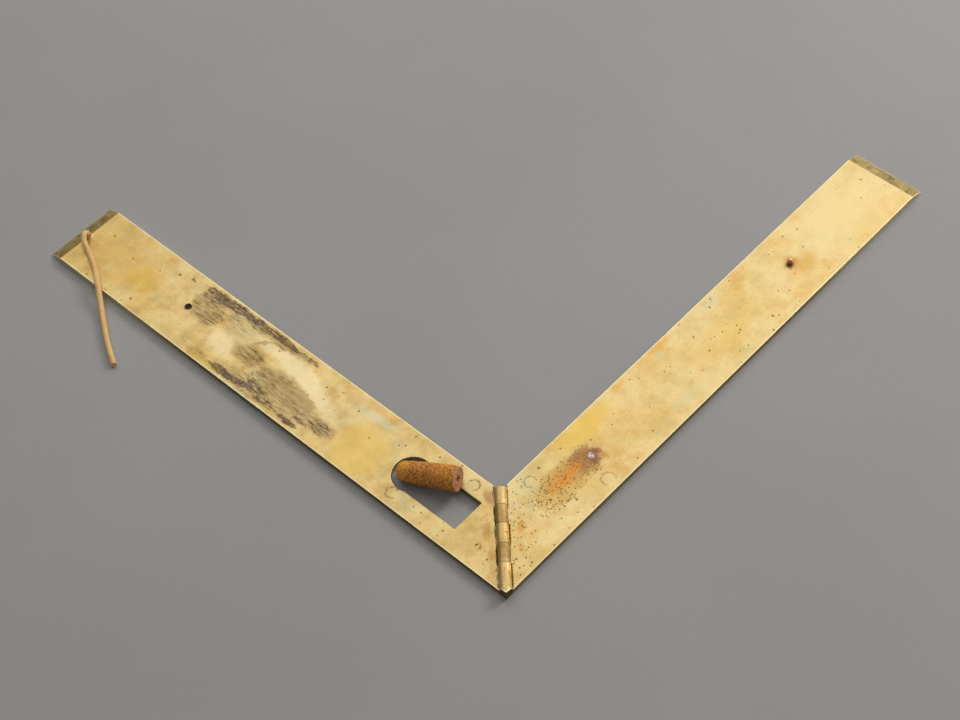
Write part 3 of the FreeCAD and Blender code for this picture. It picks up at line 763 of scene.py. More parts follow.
def knuckle_mesh(number):
    low = len(STATIONS) - 1 - number
    start, end = STATIONS[low], STATIONS[low + 1]
    outermost = number == 5
    start = -3.0 if outermost else start + 0.4 * GAP
    end = end if number == 1 else end - 0.4 * GAP
    bore = BORE if number % 2 else BORE + GAP
    round_off = 0.07
    outer = [(BARREL - 0.5, start), (BARREL - round_off, start),
             (BARREL - 0.3 * round_off, start + 0.3 * round_off)]
    outer += [(BARREL, height) for height in stepped(start + round_off, end - round_off, 0.45)]
    outer += [(BARREL - 0.3 * round_off, end - 0.3 * round_off), (BARREL - round_off, end),
              (BARREL - 0.5, end)]
    inner = [(bore, height) for height in stepped(end, start, 1.0)]

    def hammered(radius, height, angle):
        if radius < BARREL - 0.55:
            return radius
        along = Vector((math.cos(angle) * 1.3, math.sin(angle) * 1.3, height / 1.5 + number * 7))
        filed = 0.10 * max(0.0, abs(math.cos(angle - TOP_TURN)) - 0.86) / 0.14
        dent = 0.03 * max(0.0, noise.noise(along * 3.1) - 0.3)
        return radius - 0.01 - filed * (math.cos(angle - TOP_TURN) > 0) + 0.01 * noise.noise(along) - dent

    body = turned_mesh(outer + inner, HINGE_MIDDLE, ALONG_MITRE, 72, True, hammered)
    if outermost:
        file_to_corner(body)
    return body


def knuckle_brass(name, pale, gold, gilding, tarnish, eaten, top_wear_and_light):
    """Tube brass: pitted and light on some knuckles, brown and smoother on the others. Painted shade
    darkens the lower sides and the ends, and the top is painted lighter as wear and a highlight.
    """
    material, tree, coordinates = new_material(name)
    place = coordinates["Object"]
    brass = use(tree, OLD_BRASS, {
        "Place": shift(tree, place, (0.4, 2.2, 0.0)), "Along": (0.5, 0.5, 1.0), "Pale": pale,
        "Gold": gold, "Gilding": gilding, "Tarnish": tarnish})
    low = fit(tree, "SeparateXYZ", {0: place}).outputs[2]
    # Painted shade: the lower sides of the tube darkened towards the leaf.
    low_side_shade = reckon(tree, "MULTIPLY", ease(tree, low, 3.1 * MM, 2.1 * MM),
                   ease(tree, cloud(tree, place, 0.0011, detail=4.0), 0.3, 0.6, 0.6, 1.0))
    colour = lay(tree, reckon(tree, "MULTIPLY", low_side_shade, 0.6), brass["Color"], seen(104, 80, 48))
    # Painted shade on the knuckles' end faces, in the narrow gaps between them.
    facing = fit(tree, "VectorMath", {0: coordinates["Normal"], 1: tuple(ALONG_MITRE)},
                 operation="DOT_PRODUCT").outputs["Value"]
    end_face_shade = ease(tree, reckon(tree, "ABSOLUTE", facing), 0.5, 0.7)
    colour = lay(tree, reckon(tree, "MULTIPLY", end_face_shade, 0.6), colour, seen(112, 96, 66))
    coarse = use(tree, PITTING, {"Place": place, "Spacing": 0.0011, "Share": eaten, "Size": 0.3})["Mask"]
    fine = use(tree, PITTING, {"Place": shift(tree, place, (0.1, 0.0, 0.0)), "Spacing": 0.0007,
                               "Share": eaten, "Size": 0.36})["Mask"]
    pits = greatest(tree, [coarse, reckon(tree, "MULTIPLY", fine, 0.6)])
    colour = lay(tree, reckon(tree, "MULTIPLY", pits, 0.8), colour, seen(96, 66, 38))
    # The top of the tube painted lighter: rubbed wear and a painted highlight.
    lit_worn_top = reckon(tree, "MULTIPLY", ease(tree, low, 3.75 * MM, 4.1 * MM),
                   ease(tree, cloud(tree, place, 0.0013, detail=4.0), 0.35, 0.62, 0.25, 1.0))
    colour = lay(tree, reckon(tree, "MULTIPLY", lit_worn_top, top_wear_and_light), colour, seen(240, 214, 150))
    # At the filed outer end, faces that point up are painted bright, a painted highlight on the filed edge, and the end
    # faces painted dark, painted shade.
    x, y, _ = fit(tree, "SeparateXYZ", {0: place}).outputs
    filed = ease(tree, reckon(tree, "MINIMUM", x, y), 0.45 * MM, 0.2 * MM)
    upward = ease(tree, fit(tree, "SeparateXYZ", {0: coordinates["Normal"]}).outputs[2], 0.2, 0.35)
    colour = lay(tree, filed, colour, lay(tree, upward, seen(112, 98, 70), seen(255, 244, 200)))
    gloss = reckon(tree, "ADD", brass["Roughness"], 0.13)
    surface(tree, {"Base Color": colour, "Roughness": gloss},
            pit_height(tree, brass["Height"], pits, 2.0), 0.00004, Metallic=0.9)
    return material


LIGHT_TUBE = knuckle_brass("light_tube_brass", seen(240, 214, 148), seen(230, 190, 114), 0.7, 0.3,
                           0.5, 0.6)
BROWN_TUBE = knuckle_brass("brown_tube_brass", seen(216, 188, 122), seen(198, 160, 94), 0.8, 0.5,
                           0.14, 0.3)
for number in range(1, 6):
    knuckle = piece_from(knuckle_mesh(number), f"barrel_knuckle_{number}")
    to_left = number % 2 == 1
    dress(knuckle, LIGHT_TUBE if to_left else BROWN_TUBE, "left_leaf" if to_left else "right_leaf",
          "knuckle_brass", f"hinge_knuckle_{number}")


# ------------------------------------------------------------------------------- the hinge pin
# A drawn brass rod driven through all five knuckles, tight in the left leaf's and free in the right
# leaf's. Its outer end was filed to the corner together with the last knuckle, and has gone dark.
def pin_brass():
    material, tree, coordinates = new_material("pin_brass")
    place = coordinates["Object"]
    brass = use(tree, OLD_BRASS, {
        "Place": shift(tree, place, (3.1, 0.2, 0.0)), "Along": (1.0, 1.0, 0.1),
        "Pale": seen(176, 150, 98), "Gold": seen(150, 118, 70), "Gilding": 0.8, "Tarnish": 0.7})
    smut = ease(tree, cloud(tree, place, 0.0008, detail=4.0), 0.35, 0.65, 0.2, 0.85)
    colour = lay(tree, smut, brass["Color"], seen(78, 70, 56))
    surface(tree, {"Base Color": colour, "Roughness": brass["Roughness"]}, brass["Height"], 0.00003,
            Metallic=1.0)
    return material


pin_body = turned_mesh(
    [(0, -2.0)] + [(PIN - 0.015, height) for height in stepped(-2.0, STATIONS[-1] - 0.1, 1.2)]
    + [(PIN - 0.1, STATIONS[-1]), (0, STATIONS[-1])],
    HINGE_MIDDLE, ALONG_MITRE, 40, False)
file_to_corner(pin_body)
dress(piece_from(pin_body, "hinge_pin_rod"), pin_brass(), "left_leaf", "pin_brass", "hinge_pin")


# ----------------------------------------------------------------------------- the solder lines
# Silver solder, run in along the root of each knuckle on its own leaf's side and scraped down
# flush when the hinge was cleaned up, so that only a thin uneven pale line stands in the angle.
BEAD_ACROSS = BARREL + 0.12
BEAD_WIDTH, BEAD_HEIGHT = 0.21, 0.07


def solder_tree():
    """Geometry nodes: a low wavy bead from Start to End."""
    tree = bpy.data.node_groups.new("solder_bead", "GeometryNodeTree")
    tree.interface.new_socket("Geometry", in_out="OUTPUT", socket_type="NodeSocketGeometry")
    for label, kind in (("Start", "Vector"), ("End", "Vector"), ("Half Width", "Float"),
                        ("Height", "Float"), ("Waviness", "Float"), ("Seed", "Float"),
                        ("Finish", "Material")):
        tree.interface.new_socket(label, in_out="INPUT", socket_type="NodeSocket" + kind)
    given = tree.nodes.new("NodeGroupInput").outputs

    def node(kind, wires, **settings):
        made = tree.nodes.new(kind)
        for name, value in settings.items():
            setattr(made, name, value)
        for socket, value in wires.items():
            if isinstance(value, bpy.types.NodeSocket):
                tree.links.new(value, made.inputs[socket])
            else:
                made.inputs[socket].default_value = value
        return made

    line = node("GeometryNodeCurvePrimitiveLine", {"Start": given["Start"], "End": given["End"]})
    steps = node("GeometryNodeResampleCurve", {"Curve": line.outputs[0], "Count": 60})
    lying = node("GeometryNodeSetCurveNormal", {"Curve": steps.outputs[0]})
    try:
        lying.mode = "Z_UP"
    except (AttributeError, TypeError):
        lying.inputs["Mode"].default_value = "Z Up"
    wave = node("ShaderNodeTexNoise", {"Scale": 420.0, "Detail": 2.0, "W": given["Seed"]},
                noise_dimensions="4D")
    spread = node("ShaderNodeMapRange", {"Value": wave.outputs[0], "From Min": 0.3, "From Max": 0.7,
                                         "To Min": reckon_geometry(tree, given["Waviness"]),
                                         "To Max": 1.0})
    profile = node("GeometryNodeCurvePrimitiveCircle", {"Resolution": 12, "Radius": 1.0})
    size = node("ShaderNodeCombineXYZ", {0: given["Half Width"], 1: given["Height"], 2: 1.0})
    oval = node("GeometryNodeTransform", {"Geometry": profile.outputs[0], "Scale": size.outputs[0]})
    bead = node("GeometryNodeCurveToMesh", {"Curve": lying.outputs[0], "Profile Curve": oval.outputs[0],
                                            "Fill Caps": True})
    if "Scale" in bead.inputs:
        tree.links.new(spread.outputs[0], bead.inputs["Scale"])
    real = node("GeometryNodeRealizeInstances", {"Geometry": bead.outputs[0]})
    done = node("GeometryNodeSetMaterial", {"Geometry": real.outputs[0], "Material": given["Finish"]})
    end = tree.nodes.new("NodeGroupOutput")
    tree.links.new(done.outputs[0], end.inputs[0])
    return tree


def reckon_geometry(tree, socket):
    """One less the value of a socket."""
    step = tree.nodes.new("ShaderNodeMath")
    step.operation = "SUBTRACT"
    step.inputs[0].default_value = 1.0
    tree.links.new(socket, step.inputs[1])
    return step.outputs[0]


def grown(tree, name, inputs, base=None):
    """The plain mesh that a geometry-node tree makes with these inputs."""
    host = bpy.data.objects.new(name, base or bpy.data.meshes.new(name))
    bpy.context.scene.collection.objects.link(host)
    modifier = host.modifiers.new(name, "NODES")
    modifier.node_group = tree
    for item in tree.interface.items_tree:
        if item.in_out == "INPUT" and item.name in inputs:
            modifier[item.identifier] = inputs[item.name]
    mesh = bpy.data.meshes.new_from_object(host.evaluated_get(bpy.context.evaluated_depsgraph_get()))
    host.modifiers.remove(modifier)
    host.data = mesh
    mesh.name = name
    mesh.polygons.foreach_set("use_smooth", [True] * len(mesh.polygons))
    return host


def solder_metal():
    material, tree, coordinates = new_material("scraped_solder")
    place = coordinates["Object"]
    brass = use(tree, OLD_BRASS, {
        "Place": shift(tree, place, (5.0, 0.0, 0.0)), "Along": (0.5, 0.5, 1.0),
        "Pale": seen(226, 208, 168), "Gold": seen(196, 168, 118), "Gilding": 0.8, "Tarnish": 0.8})
    dark = ease(tree, cloud(tree, place, 0.0034, detail=4.0, rough=0.6), 0.48, 0.66, 0.0, 0.8)
    colour = lay(tree, dark, brass["Color"], seen(112, 86, 52))
    surface(tree, {"Base Color": colour, "Roughness": brass["Roughness"]}, brass["Height"], 0.00004,
            Metallic=1.0)
    return material


SOLDER = solder_metal()
solder_nodes = solder_tree()
for number in range(1, 6):
    low = len(STATIONS) - 1 - number
    start, end = STATIONS[low], STATIONS[low + 1]
    to_left = number % 2 == 1
    if number == 5:
        start = BEAD_ACROSS + 0.9
    side = Vector((-1, 1, 0)).normalized() if to_left else Vector((1, -1, 0)).normalized()
    root = side * BEAD_ACROSS * MM + Vector((0, 0, (PLATE - 0.01) * MM))
    bead = grown(solder_nodes, f"solder_line_{number}", {
        "Start": tuple(root + ALONG_MITRE * (start + 0.3) * MM),
        "End": tuple(root + ALONG_MITRE * (end - 0.3) * MM),
        "Half Width": BEAD_WIDTH * MM, "Height": BEAD_HEIGHT * MM, "Waviness": 0.4,
        "Seed": float(number), "Finish": SOLDER})
    dress(bead, SOLDER, "left_leaf" if to_left else "right_leaf", "knuckle_brass")


# ------------------------------------------------------------------------- the locating peg
# A stub of copper wire riveted into the right leaf, proud of its face. It enters a hole in the left
# leaf and holds the two in line when the square is shut. Its head is bruised, its foot dark.
PEG_RADIUS = 0.85


def peg_copper():
    material, tree, coordinates = new_material("peg_copper")
    place = coordinates["Object"]
    tone = cloud(tree, place, 0.0006, detail=4.0)
    colour = lay(tree, ease(tree, tone, 0.35, 0.65), seen(255, 200, 160), seen(236, 164, 118))
    low = fit(tree, "SeparateXYZ", {0: place}).outputs[2]
    # Painted shade: the peg darkened towards its foot, where it meets the leaf.
    colour = lay(tree, ease(tree, low, 2.6 * MM, 2.15 * MM, 0.0, 0.7), colour, seen(84, 62, 38))
    gloss = ease(tree, tone, 0.3, 0.7, 0.4, 0.55)
    surface(tree, {"Base Color": colour, "Roughness": gloss}, tone, 0.00004, Metallic=0.75)
    return material


def bruised(radius, height, angle):
    where = Vector((math.cos(angle), math.sin(angle), height / 1.2))
    return radius * (0.985 + 0.04 * noise.noise(where * 2.0) * (height > PLATE))


peg_profile = [(0, 0.02), (PEG_RADIUS - 0.1, 0.02), (PEG_RADIUS - 0.02, 0.1)]
peg_profile += [(PEG_RADIUS - 0.02, height) for height in stepped(0.3, PLATE, 0.3)]
peg_profile += [(PEG_RADIUS * share, PLATE + rise) for share, rise in (
    (0.90, 0.15), (0.85, 0.4), (0.86, 0.75), (0.91, 1.1), (0.955, 1.4), (0.965, 1.65), (0.93, 1.83),
    (0.83, 1.98), (0.68, 2.08), (0.45, 2.155), (0.22, 2.185), (0, 2.19))]
peg_body = turned_mesh(peg_profile, Vector((PEG_ALONG, PEG_ACROSS, 0)) * MM, Vector((0, 0, 1)), 36,
                       False, bruised)
dress(piece_from(peg_body, "riveted_peg", 50), peg_copper(), "right_leaf", "peg_copper", "locating_peg")


# ----------------------------------------------------------------------------- the plumb bob
# A turned iron slug, bored at the head for the knot of its line and tapered to a blunt nose. It lies
# loose in the window, nose down in the round end. It is rusted all over, in scale and fine pits.
BOB_RADIUS, BOB_LENGTH, BOB_TAPER, BOB_NOSE = 4.0, 20.25, 6.5, 2.9
BOB_BORE, BOB_BORE_DEPTH = 1.0, 8.0
BOB_HEAD = Vector((19.00, 36.07, 6.45)) * MM
BOB_TURN, BOB_TILT = math.radians(23.9), math.radians(9.81)
BOB_AXIS = Vector((math.sin(BOB_TURN) * math.cos(BOB_TILT), -math.cos(BOB_TURN) * math.cos(BOB_TILT),
                   math.sin(BOB_TILT)))


def bob_profile():
    """From the bottom of the bore, up over the head's rim and down the side to the nose. Heights
    run down from the head at 0."""
    points = [(0, -BOB_BORE_DEPTH)]
    points += [(BOB_BORE * share, -BOB_BORE_DEPTH) for share in (0.5, 1.0)]
    points += [(BOB_BORE, height) for height in stepped(-BOB_BORE_DEPTH, -0.35, 0.4)[1:]]
    points += [(BOB_BORE + 0.05, -0.15), (BOB_BORE + 0.18, -0.02)]
    points += [(radius, 0.0) for radius in stepped(BOB_BORE + 0.3, BOB_RADIUS - 0.42, 0.14)]
    points += [(BOB_RADIUS - 0.28, -0.03), (BOB_RADIUS - 0.14, -0.1), (BOB_RADIUS - 0.04, -0.22)]
    shoulder = BOB_LENGTH - BOB_TAPER
    points += [(BOB_RADIUS - 0.3 * (height / shoulder) ** 2, -height)
               for height in stepped(0.36, shoulder, 0.14)]
    fillet = 2.5
    slope = math.atan2(BOB_RADIUS - BOB_NOSE, BOB_TAPER)
    reach = fillet * math.tan((math.pi / 2 - slope) / 2)
    join = BOB_LENGTH - reach * math.cos(slope)
    narrow = BOB_NOSE + reach * math.sin(slope)
    for height in stepped(shoulder, join, 0.14)[1:]:
        share = (height - shoulder) / (join - shoulder)
        points.append((BOB_RADIUS - 0.3 + (narrow - BOB_RADIUS + 0.3) * share, -height))
    flat = BOB_NOSE - reach
    for turn in stepped(slope, math.pi / 2, 0.06)[1:]:
        points.append((flat + fillet * (math.cos(turn)), -(BOB_LENGTH - fillet + fillet * math.sin(turn))))
    points += [(flat * 0.5, -BOB_LENGTH), (0, -BOB_LENGTH)]
    return points


def corroded(body, axis_point, axis):
    """Eats into the turned surface: broad scale, flakes and pits, never proud of it. Marks each
    point with how deep it was eaten and how far it is from the head."""
    deep = body.verts.layers.float.new("eaten")
    down = body.verts.layers.float.new("from_head")
    body.normal_update()
    moves = []
    for vert in body.verts:
        here = vert.co / MM
        off = vert.co - axis_point
        height = off.dot(axis) / MM
        radius = (off - axis * off.dot(axis)).length / MM
        scale = noise.noise(here / 2.6 + Vector((5, 0, 0)))
        flake = noise.noise(here / 0.75)
        pit = max(0.0, noise.noise(here / 0.42 + Vector((0, 9, 0))) - 0.18)
        grit = noise.noise(here / 0.2)
        depth = 0.06 + 0.05 * scale + 0.05 * flake + 0.22 * pit + 0.02 * grit
        if radius < BOB_BORE + 0.1 and height < -0.3:
            depth *= -0.3
        moves.append((vert, vert.normal * -max(depth, -0.02) * MM))
        vert[deep] = depth
        vert[down] = -height / BOB_LENGTH
    for vert, move in moves:
        vert.co += move


def rusty_iron(name, lift):
    """Rust: yellow-orange at the nose, orange and brown along the side, darker where it is deep."""
    material, tree, coordinates = new_material(name)
    place = coordinates["Object"]
    from_head = fit(tree, "Attribute", attribute_name="from_head").outputs["Fac"]
    eaten = fit(tree, "Attribute", attribute_name="eaten").outputs["Fac"]
    broad = cloud(tree, place, 0.0042, detail=3.0)
    flecks = cloud(tree, shift(tree, place, (0.3, 0.0, 0.0)), 0.0012, detail=5.0, rough=0.72)
    grit = cloud(tree, place, 0.00052, detail=3.0, rough=0.7)
    orange = lay(tree, ease(tree, flecks, 0.36, 0.62), seen(206, 122, 50), seen(255, 178, 76))
    brown = lay(tree, ease(tree, flecks, 0.38, 0.62), seen(176, 106, 52), seen(240, 154, 72))
    colour = lay(tree, ease(tree, broad, 0.4, 0.6), orange, brown)
    belly = reckon(tree, "MULTIPLY", ease(tree, from_head, 0.25, 0.5), ease(tree, from_head, 0.9, 0.68))
    colour = lay(tree, reckon(tree, "MULTIPLY", belly, 0.5), colour, seen(206, 132, 70))
    nose = ease(tree, reckon(tree, "ADD", from_head, reckon(tree, "MULTIPLY", broad, 0.3)), 0.86, 1.02)
    colour = lay(tree, reckon(tree, "MULTIPLY", nose, 0.75), colour, seen(255, 180, 62))
    head = ease(tree, reckon(tree, "SUBTRACT", from_head, reckon(tree, "MULTIPLY", flecks, 0.04)), 0.03, -0.02)
    colour = lay(tree, reckon(tree, "MULTIPLY", head, 0.8), colour, seen(232, 166, 130))
    # Painted shade: faces that point down darkened, on the bob's underside.
    down = fit(tree, "SeparateXYZ", {0: coordinates["Normal"]}).outputs[2]
    colour = lay(tree, ease(tree, down, 0.25, -0.5, 0.0, 0.55), colour, seen(116, 80, 42))
    pits = ease(tree, eaten, 0.08, 0.16)
    colour = lay(tree, reckon(tree, "MULTIPLY", pits, 0.7), colour, seen(92, 50, 28))
    colour = lay(tree, ease(tree, grit, 0.53, 0.66, 0.0, 0.85), colour, seen(255, 206, 112))
    colour = lay(tree, ease(tree, grit, 0.46, 0.32, 0.0, 0.85), colour, seen(92, 48, 22))
    if lift:
        colour = lay(tree, lift, colour, seen(246, 172, 84))
    gloss = ease(tree, flecks, 0.3, 0.7, 0.78, 0.94)
    relief = reckon(tree, "ADD", grit, reckon(tree, "MULTIPLY", flecks, 1.5))
    surface(tree, {"Base Color": colour, "Roughness": gloss}, relief, 0.00017, Metallic=0.0)
    material.node_tree.nodes["Principled BSDF"].inputs["Specular IOR Level"].default_value = 0.25
    return material


bob_body = turned_mesh(bob_profile(), BOB_HEAD, BOB_AXIS, 176, False)
corroded(bob_body, BOB_HEAD, BOB_AXIS)
bob = piece_from(bob_body, "rusted_bob", 60)
dress(bob, rusty_iron("rusty_iron", 0.0), "bob", "rusty_iron", "plumb_bob")


def rust_tree():
    """Geometry nodes: flat grains of scale strewn over a surface."""
    tree = bpy.data.node_groups.new("rust_scale", "GeometryNodeTree")
    tree.interface.new_socket("Geometry", in_out="OUTPUT", socket_type="NodeSocketGeometry")
    for label, kind in (("Surface", "Geometry"), ("Per Square Metre", "Float"), ("Smallest", "Float"),
                        ("Largest", "Float"), ("Flatness", "Float"), ("Seed", "Int"),
                        ("Finish", "Material")):
        tree.interface.new_socket(label, in_out="INPUT", socket_type="NodeSocket" + kind)
    given = tree.nodes.new("NodeGroupInput").outputs
    links, nodes = tree.links, tree.nodes
    points = nodes.new("GeometryNodeDistributePointsOnFaces")
    links.new(given["Surface"], points.inputs["Mesh"])
    links.new(given["Per Square Metre"], points.inputs["Density"])
    links.new(given["Seed"], points.inputs["Seed"])
    grain = nodes.new("GeometryNodeMeshIcoSphere")
    grain.inputs["Radius"].default_value = 1.0
    grain.inputs["Subdivisions"].default_value = 1
    size = nodes.new("FunctionNodeRandomValue")
    size.data_type = "FLOAT"
    for socket, source in ((2, "Smallest"), (3, "Largest"), ("Seed", "Seed")):
        links.new(given[source], size.inputs[socket])
    flat = nodes.new("ShaderNodeMath")
    flat.operation = "MULTIPLY"
    links.new(size.outputs[1], flat.inputs[0])
    links.new(given["Flatness"], flat.inputs[1])
    shape = nodes.new("ShaderNodeCombineXYZ")
    for axis, source in ((0, size.outputs[1]), (1, size.outputs[1]), (2, flat.outputs[0])):
        links.new(source, shape.inputs[axis])
    placed = nodes.new("GeometryNodeInstanceOnPoints")
    links.new(points.outputs["Points"], placed.inputs["Points"])
    links.new(grain.outputs[0], placed.inputs["Instance"])
    links.new(points.outputs["Rotation"], placed.inputs["Rotation"])
    links.new(shape.outputs[0], placed.inputs["Scale"])
    real = nodes.new("GeometryNodeRealizeInstances")
    links.new(placed.outputs[0], real.inputs[0])
    done = nodes.new("GeometryNodeSetMaterial")
    links.new(real.outputs[0], done.inputs["Geometry"])
    links.new(given["Finish"], done.inputs["Material"])
    end = nodes.new("NodeGroupOutput")
    links.new(done.outputs[0], end.inputs[0])
    return tree


scale_rust = rusty_iron("rust_scale", 0.35)
rust_scale = grown(rust_tree(), "rust_scale", {
    "Per Square Metre": 3.2e6, "Smallest": 0.04 * MM, "Largest": 0.14 * MM, "Flatness": 0.35,
    "Seed": 5, "Finish": scale_rust}, bob.data.copy())
dress(rust_scale, scale_rust, "bob", "rusty_iron")


# ------------------------------------------------------------------------------ the leather lace
# What is left of the plumb line: a thin round lace cut from hide, drawn up through the hole at the
# leaf's end and hanging over the outer edge to the table. It is limp, dry and cut off square.
LACE = 2.0
LACE_ROUTE = (
    (12.8, 199.7, 1.1), (12.8, 199.7, 3.3), (11.0, 199.05, 4.9), (9.0, 197.0, 4.0),
    (7.7, 193.4, 3.25), (5.6, 188.9, 3.2), (3.0, 184.3, 3.25), (-0.7, 178.8, 3.5),
    (-5.0, 173.0, 1.15), (-10.2, 165.4, 1.05), (-14.4, 158.7, 1.05), (-17.6, 152.7, 1.05),
)


def lace_line():
    """Points read from the lace's own smooth line."""
    curve = bpy.data.curves.new("lace_line", "CURVE")
    curve.dimensions = "3D"
    curve.resolution_u = 24
    line = curve.splines.new("NURBS")
    line.points.add(len(LACE_ROUTE) - 1)
    for point, place in zip(line.points, LACE_ROUTE):
        point.co = (*[c * MM for c in place], 1.0)
    line.order_u = 3
    line.use_endpoint_u = True
    holder = bpy.data.objects.new("lace_line", curve)
    bpy.context.scene.collection.objects.link(holder)
    read = bpy.data.meshes.new_from_object(holder.evaluated_get(bpy.context.evaluated_depsgraph_get()))
    path = [v.co.copy() for v in read.vertices]
    bpy.data.objects.remove(holder)
    return path


def lace_mesh(path):
    """A slightly flattened, uneven tube along the line, with its own map round and along it."""
    around = 22
    body = bmesh.new()
    rings, run, side = [], 0.0, Vector((0, 1, 0))
    for index, point in enumerate(path):
        ahead = path[min(index + 1, len(path) - 1)] - path[max(index - 1, 0)]
        ahead.normalize()
        side = (side - ahead * side.dot(ahead)).normalized()
        up = ahead.cross(side)
        if index:
            run += (point - path[index - 1]).length
        ring = []
        for k in range(around):
            angle = math.tau * k / around
            where = Vector((math.cos(angle) * 1.1, math.sin(angle) * 1.1, run / (3.0 * MM)))
            radius = LACE / 2 * (0.955 + 0.05 * noise.noise(where) + 0.02 * noise.noise(where * 4))
            radius *= 1 - 0.035 * math.cos(2 * angle + run / (9 * MM))
            ring.append(body.verts.new(point + (side * math.cos(angle) + up * math.sin(angle)) * radius * MM))
        rings.append((ring, run))
    shell = body.loops.layers.uv.new("round_and_along")
    for (first, run_1), (second, run_2) in zip(rings, rings[1:]):
        for k in range(around):
            face = body.faces.new((first[k], first[(k + 1) % around], second[(k + 1) % around], second[k]))
            for loop, (u, v) in zip(face.loops, ((k, run_1), (k + 1, run_1), (k + 1, run_2), (k, run_2))):
                loop[shell].uv = (u / around, v / (10 * MM))
    for (ring, run), outward in ((rings[0], -1), (rings[-1], 1)):
        middle = sum((v.co for v in ring), Vector()) / around
        inner = [body.verts.new(middle + (v.co - middle) * 0.82) for v in ring]
        cut = [body.verts.new(middle + (v.co - middle) * 0.4) for v in ring]
        hub = body.verts.new(middle)
        for k in range(around):
            nearby = (k + 1) % around
            for corners in ((ring[k], ring[nearby], inner[nearby], inner[k]),
                            (inner[k], inner[nearby], cut[nearby], cut[k]), (cut[k], cut[nearby], hub)):
                face = body.faces.new(corners)
                for loop in face.loops:
                    loop[shell].uv = ((loop.vert.co - middle).length / (LACE * MM) + 2, run / (10 * MM))
    bmesh.ops.recalc_face_normals(body, faces=body.faces[:])
    return body


def lace_leather():
    """Dry tan hide: pale along its back, brown in its creases and along the cut edges."""
    material, tree, coordinates = new_material("lace_leather")
    place, lengthwise = coordinates["Object"], coordinates["UV"]
    fibres = cloud(tree, lengthwise, 0.05, (1.0, 9.0, 1.0), 4.0, 0.65)
    blotch = cloud(tree, place, 0.0035, detail=4.0)
    pores = cloud(tree, place, 0.0003, detail=3.0)
    colour = lay(tree, ease(tree, blotch, 0.38, 0.64), seen(255, 213, 142), seen(252, 196, 120))
    colour = lay(tree, ease(tree, fibres, 0.52, 0.75, 0.0, 0.6), colour, seen(206, 140, 76))
    colour = lay(tree, ease(tree, fibres, 0.45, 0.28, 0.0, 0.6), colour, seen(255, 222, 160))
    colour = lay(tree, ease(tree, pores, 0.6, 0.78, 0.0, 0.4), colour, seen(180, 124, 68))
    round_it = fit(tree, "SeparateXYZ", {0: lengthwise}).outputs[0]
    end_grain = ease(tree, round_it, 1.5, 1.9)
    colour = lay(tree, reckon(tree, "MULTIPLY", end_grain, 0.6), colour, seen(222, 172, 118))
    gloss = ease(tree, fibres, 0.3, 0.7, 0.42, 0.62)
    relief = reckon(tree, "ADD", reckon(tree, "MULTIPLY", fibres, 1.4), pores)
    surface(tree, {"Base Color": colour, "Roughness": gloss}, relief, 0.00009, Metallic=0.0)
    return material


lace_path = lace_line()
lace = piece_from(lace_mesh(lace_path), "leather_lace", 60)
dress(lace, lace_leather(), "left_leaf", "lace_leather", "plumb_cord")
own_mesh(lace)


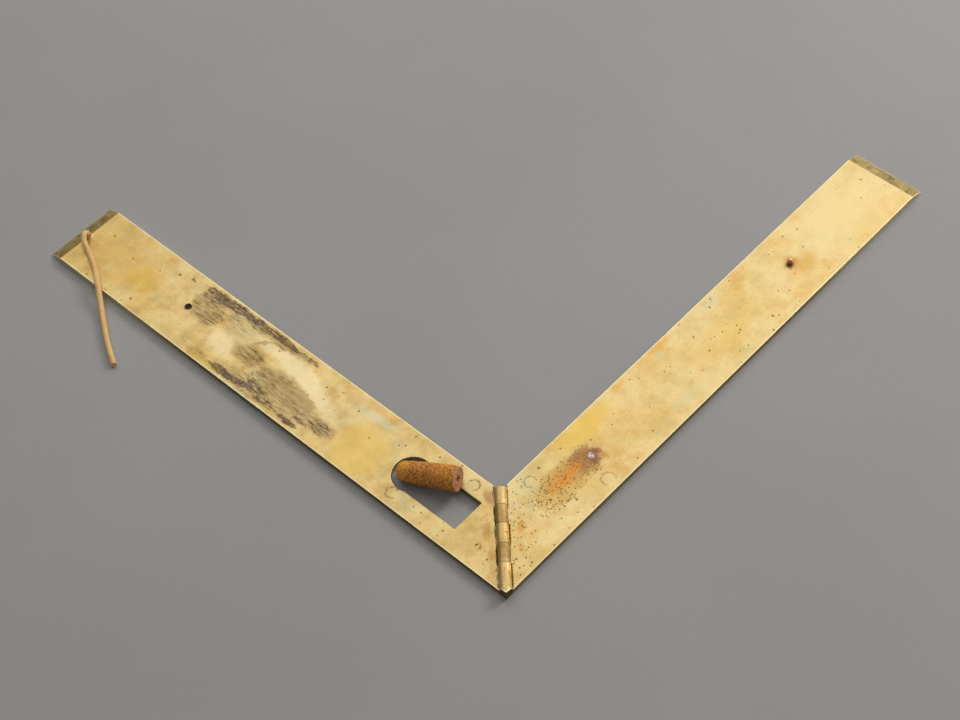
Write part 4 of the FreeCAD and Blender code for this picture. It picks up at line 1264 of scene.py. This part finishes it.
# ------------------------------------------------------------------- the table, light and camera
# A plain pale table, a soft lamp to the right of the square and a little behind it, a wide sheet of
# light high behind it, and an even pale room that grows darker towards the horizon.
table_mesh = bpy.data.meshes.new("table")
table_sheet = bmesh.new()
bmesh.ops.create_grid(table_sheet, x_segments=8, y_segments=8, size=2.5)
table_sheet.to_mesh(table_mesh)
table_sheet.free()
table = bpy.data.objects.new("table", table_mesh)
table.location = (0.1, 0.1, -0.02 * MM)
bpy.context.scene.collection.objects.link(table)
table_paint, tree, coordinates = new_material("table_paint")
speckle = cloud(tree, coordinates["Object"], 0.0011, detail=3.0)
drift = cloud(tree, coordinates["Object"], 0.12, detail=3.0)
colour = lay(tree, ease(tree, drift, 0.3, 0.7), seen(170, 168, 166), seen(175, 173, 171))
colour = lay(tree, ease(tree, speckle, 0.4, 0.7, 0.0, 0.3), colour, seen(165, 163, 161))
surface(tree, {"Base Color": colour, "Roughness": ease(tree, speckle, 0.3, 0.7, 0.62, 0.7)})
table_mesh.materials.append(table_paint)

room = bpy.data.worlds.new("room")
bpy.context.scene.world = room
room.use_nodes = True
tree = room.node_tree
tree.nodes.clear()
height = fit(tree, "SeparateXYZ", {0: fit(tree, "TexCoord").outputs["Generated"]}).outputs[2]
shade = lay(tree, ease(tree, height, 0.05, 0.75), (0.15, 0.15, 0.15, 1.0), (0.26, 0.26, 0.26, 1.0))
glow = fit(tree, "Background", {"Color": shade, "Strength": 1.0})
tree.links.new(glow.outputs[0], tree.nodes.new("ShaderNodeOutputWorld").inputs[0])


def soft_lamp(name, place, target, size, watts):
    lamp = bpy.data.lights.new(name, "AREA")
    lamp.shape = "DISK"
    lamp.size = size
    lamp.energy = watts
    lamp.color = (1.0, 0.985, 0.965)
    holder = bpy.data.objects.new(name, lamp)
    holder.location = place
    holder.rotation_mode = "QUATERNION"
    holder.rotation_quaternion = (Vector(target) - Vector(place)).to_track_quat("-Z", "Y")
    bpy.context.scene.collection.objects.link(holder)


soft_lamp("main_lamp", (1.05, -0.12, 0.66), (0.08, 0.08, 0.0), 0.5, 5.6)
soft_lamp("back_sheet", (0.58, 0.66, 1.05), (0.08, 0.08, 0.0), 1.7, 6.0)

view = bpy.data.cameras.new("view")
view.sensor_width = 36.0
view.lens = 80.205
view.clip_start, view.clip_end = 0.01, 20.0
camera = bpy.data.objects.new("view", view)
heading, dip, roll = math.radians(-42.96), math.radians(37.293), math.radians(-5.667)
turn = (Matrix.Rotation(heading, 4, "Z") @ Matrix.Rotation(dip, 4, "X")
        @ Matrix.Rotation(roll, 4, "Z"))
camera.matrix_world = Matrix.Translation((-0.21902, -0.23395, 0.5364)) @ turn
bpy.context.scene.collection.objects.link(camera)
bpy.context.scene.camera = camera
bpy.context.scene.view_settings.view_transform = "Standard"
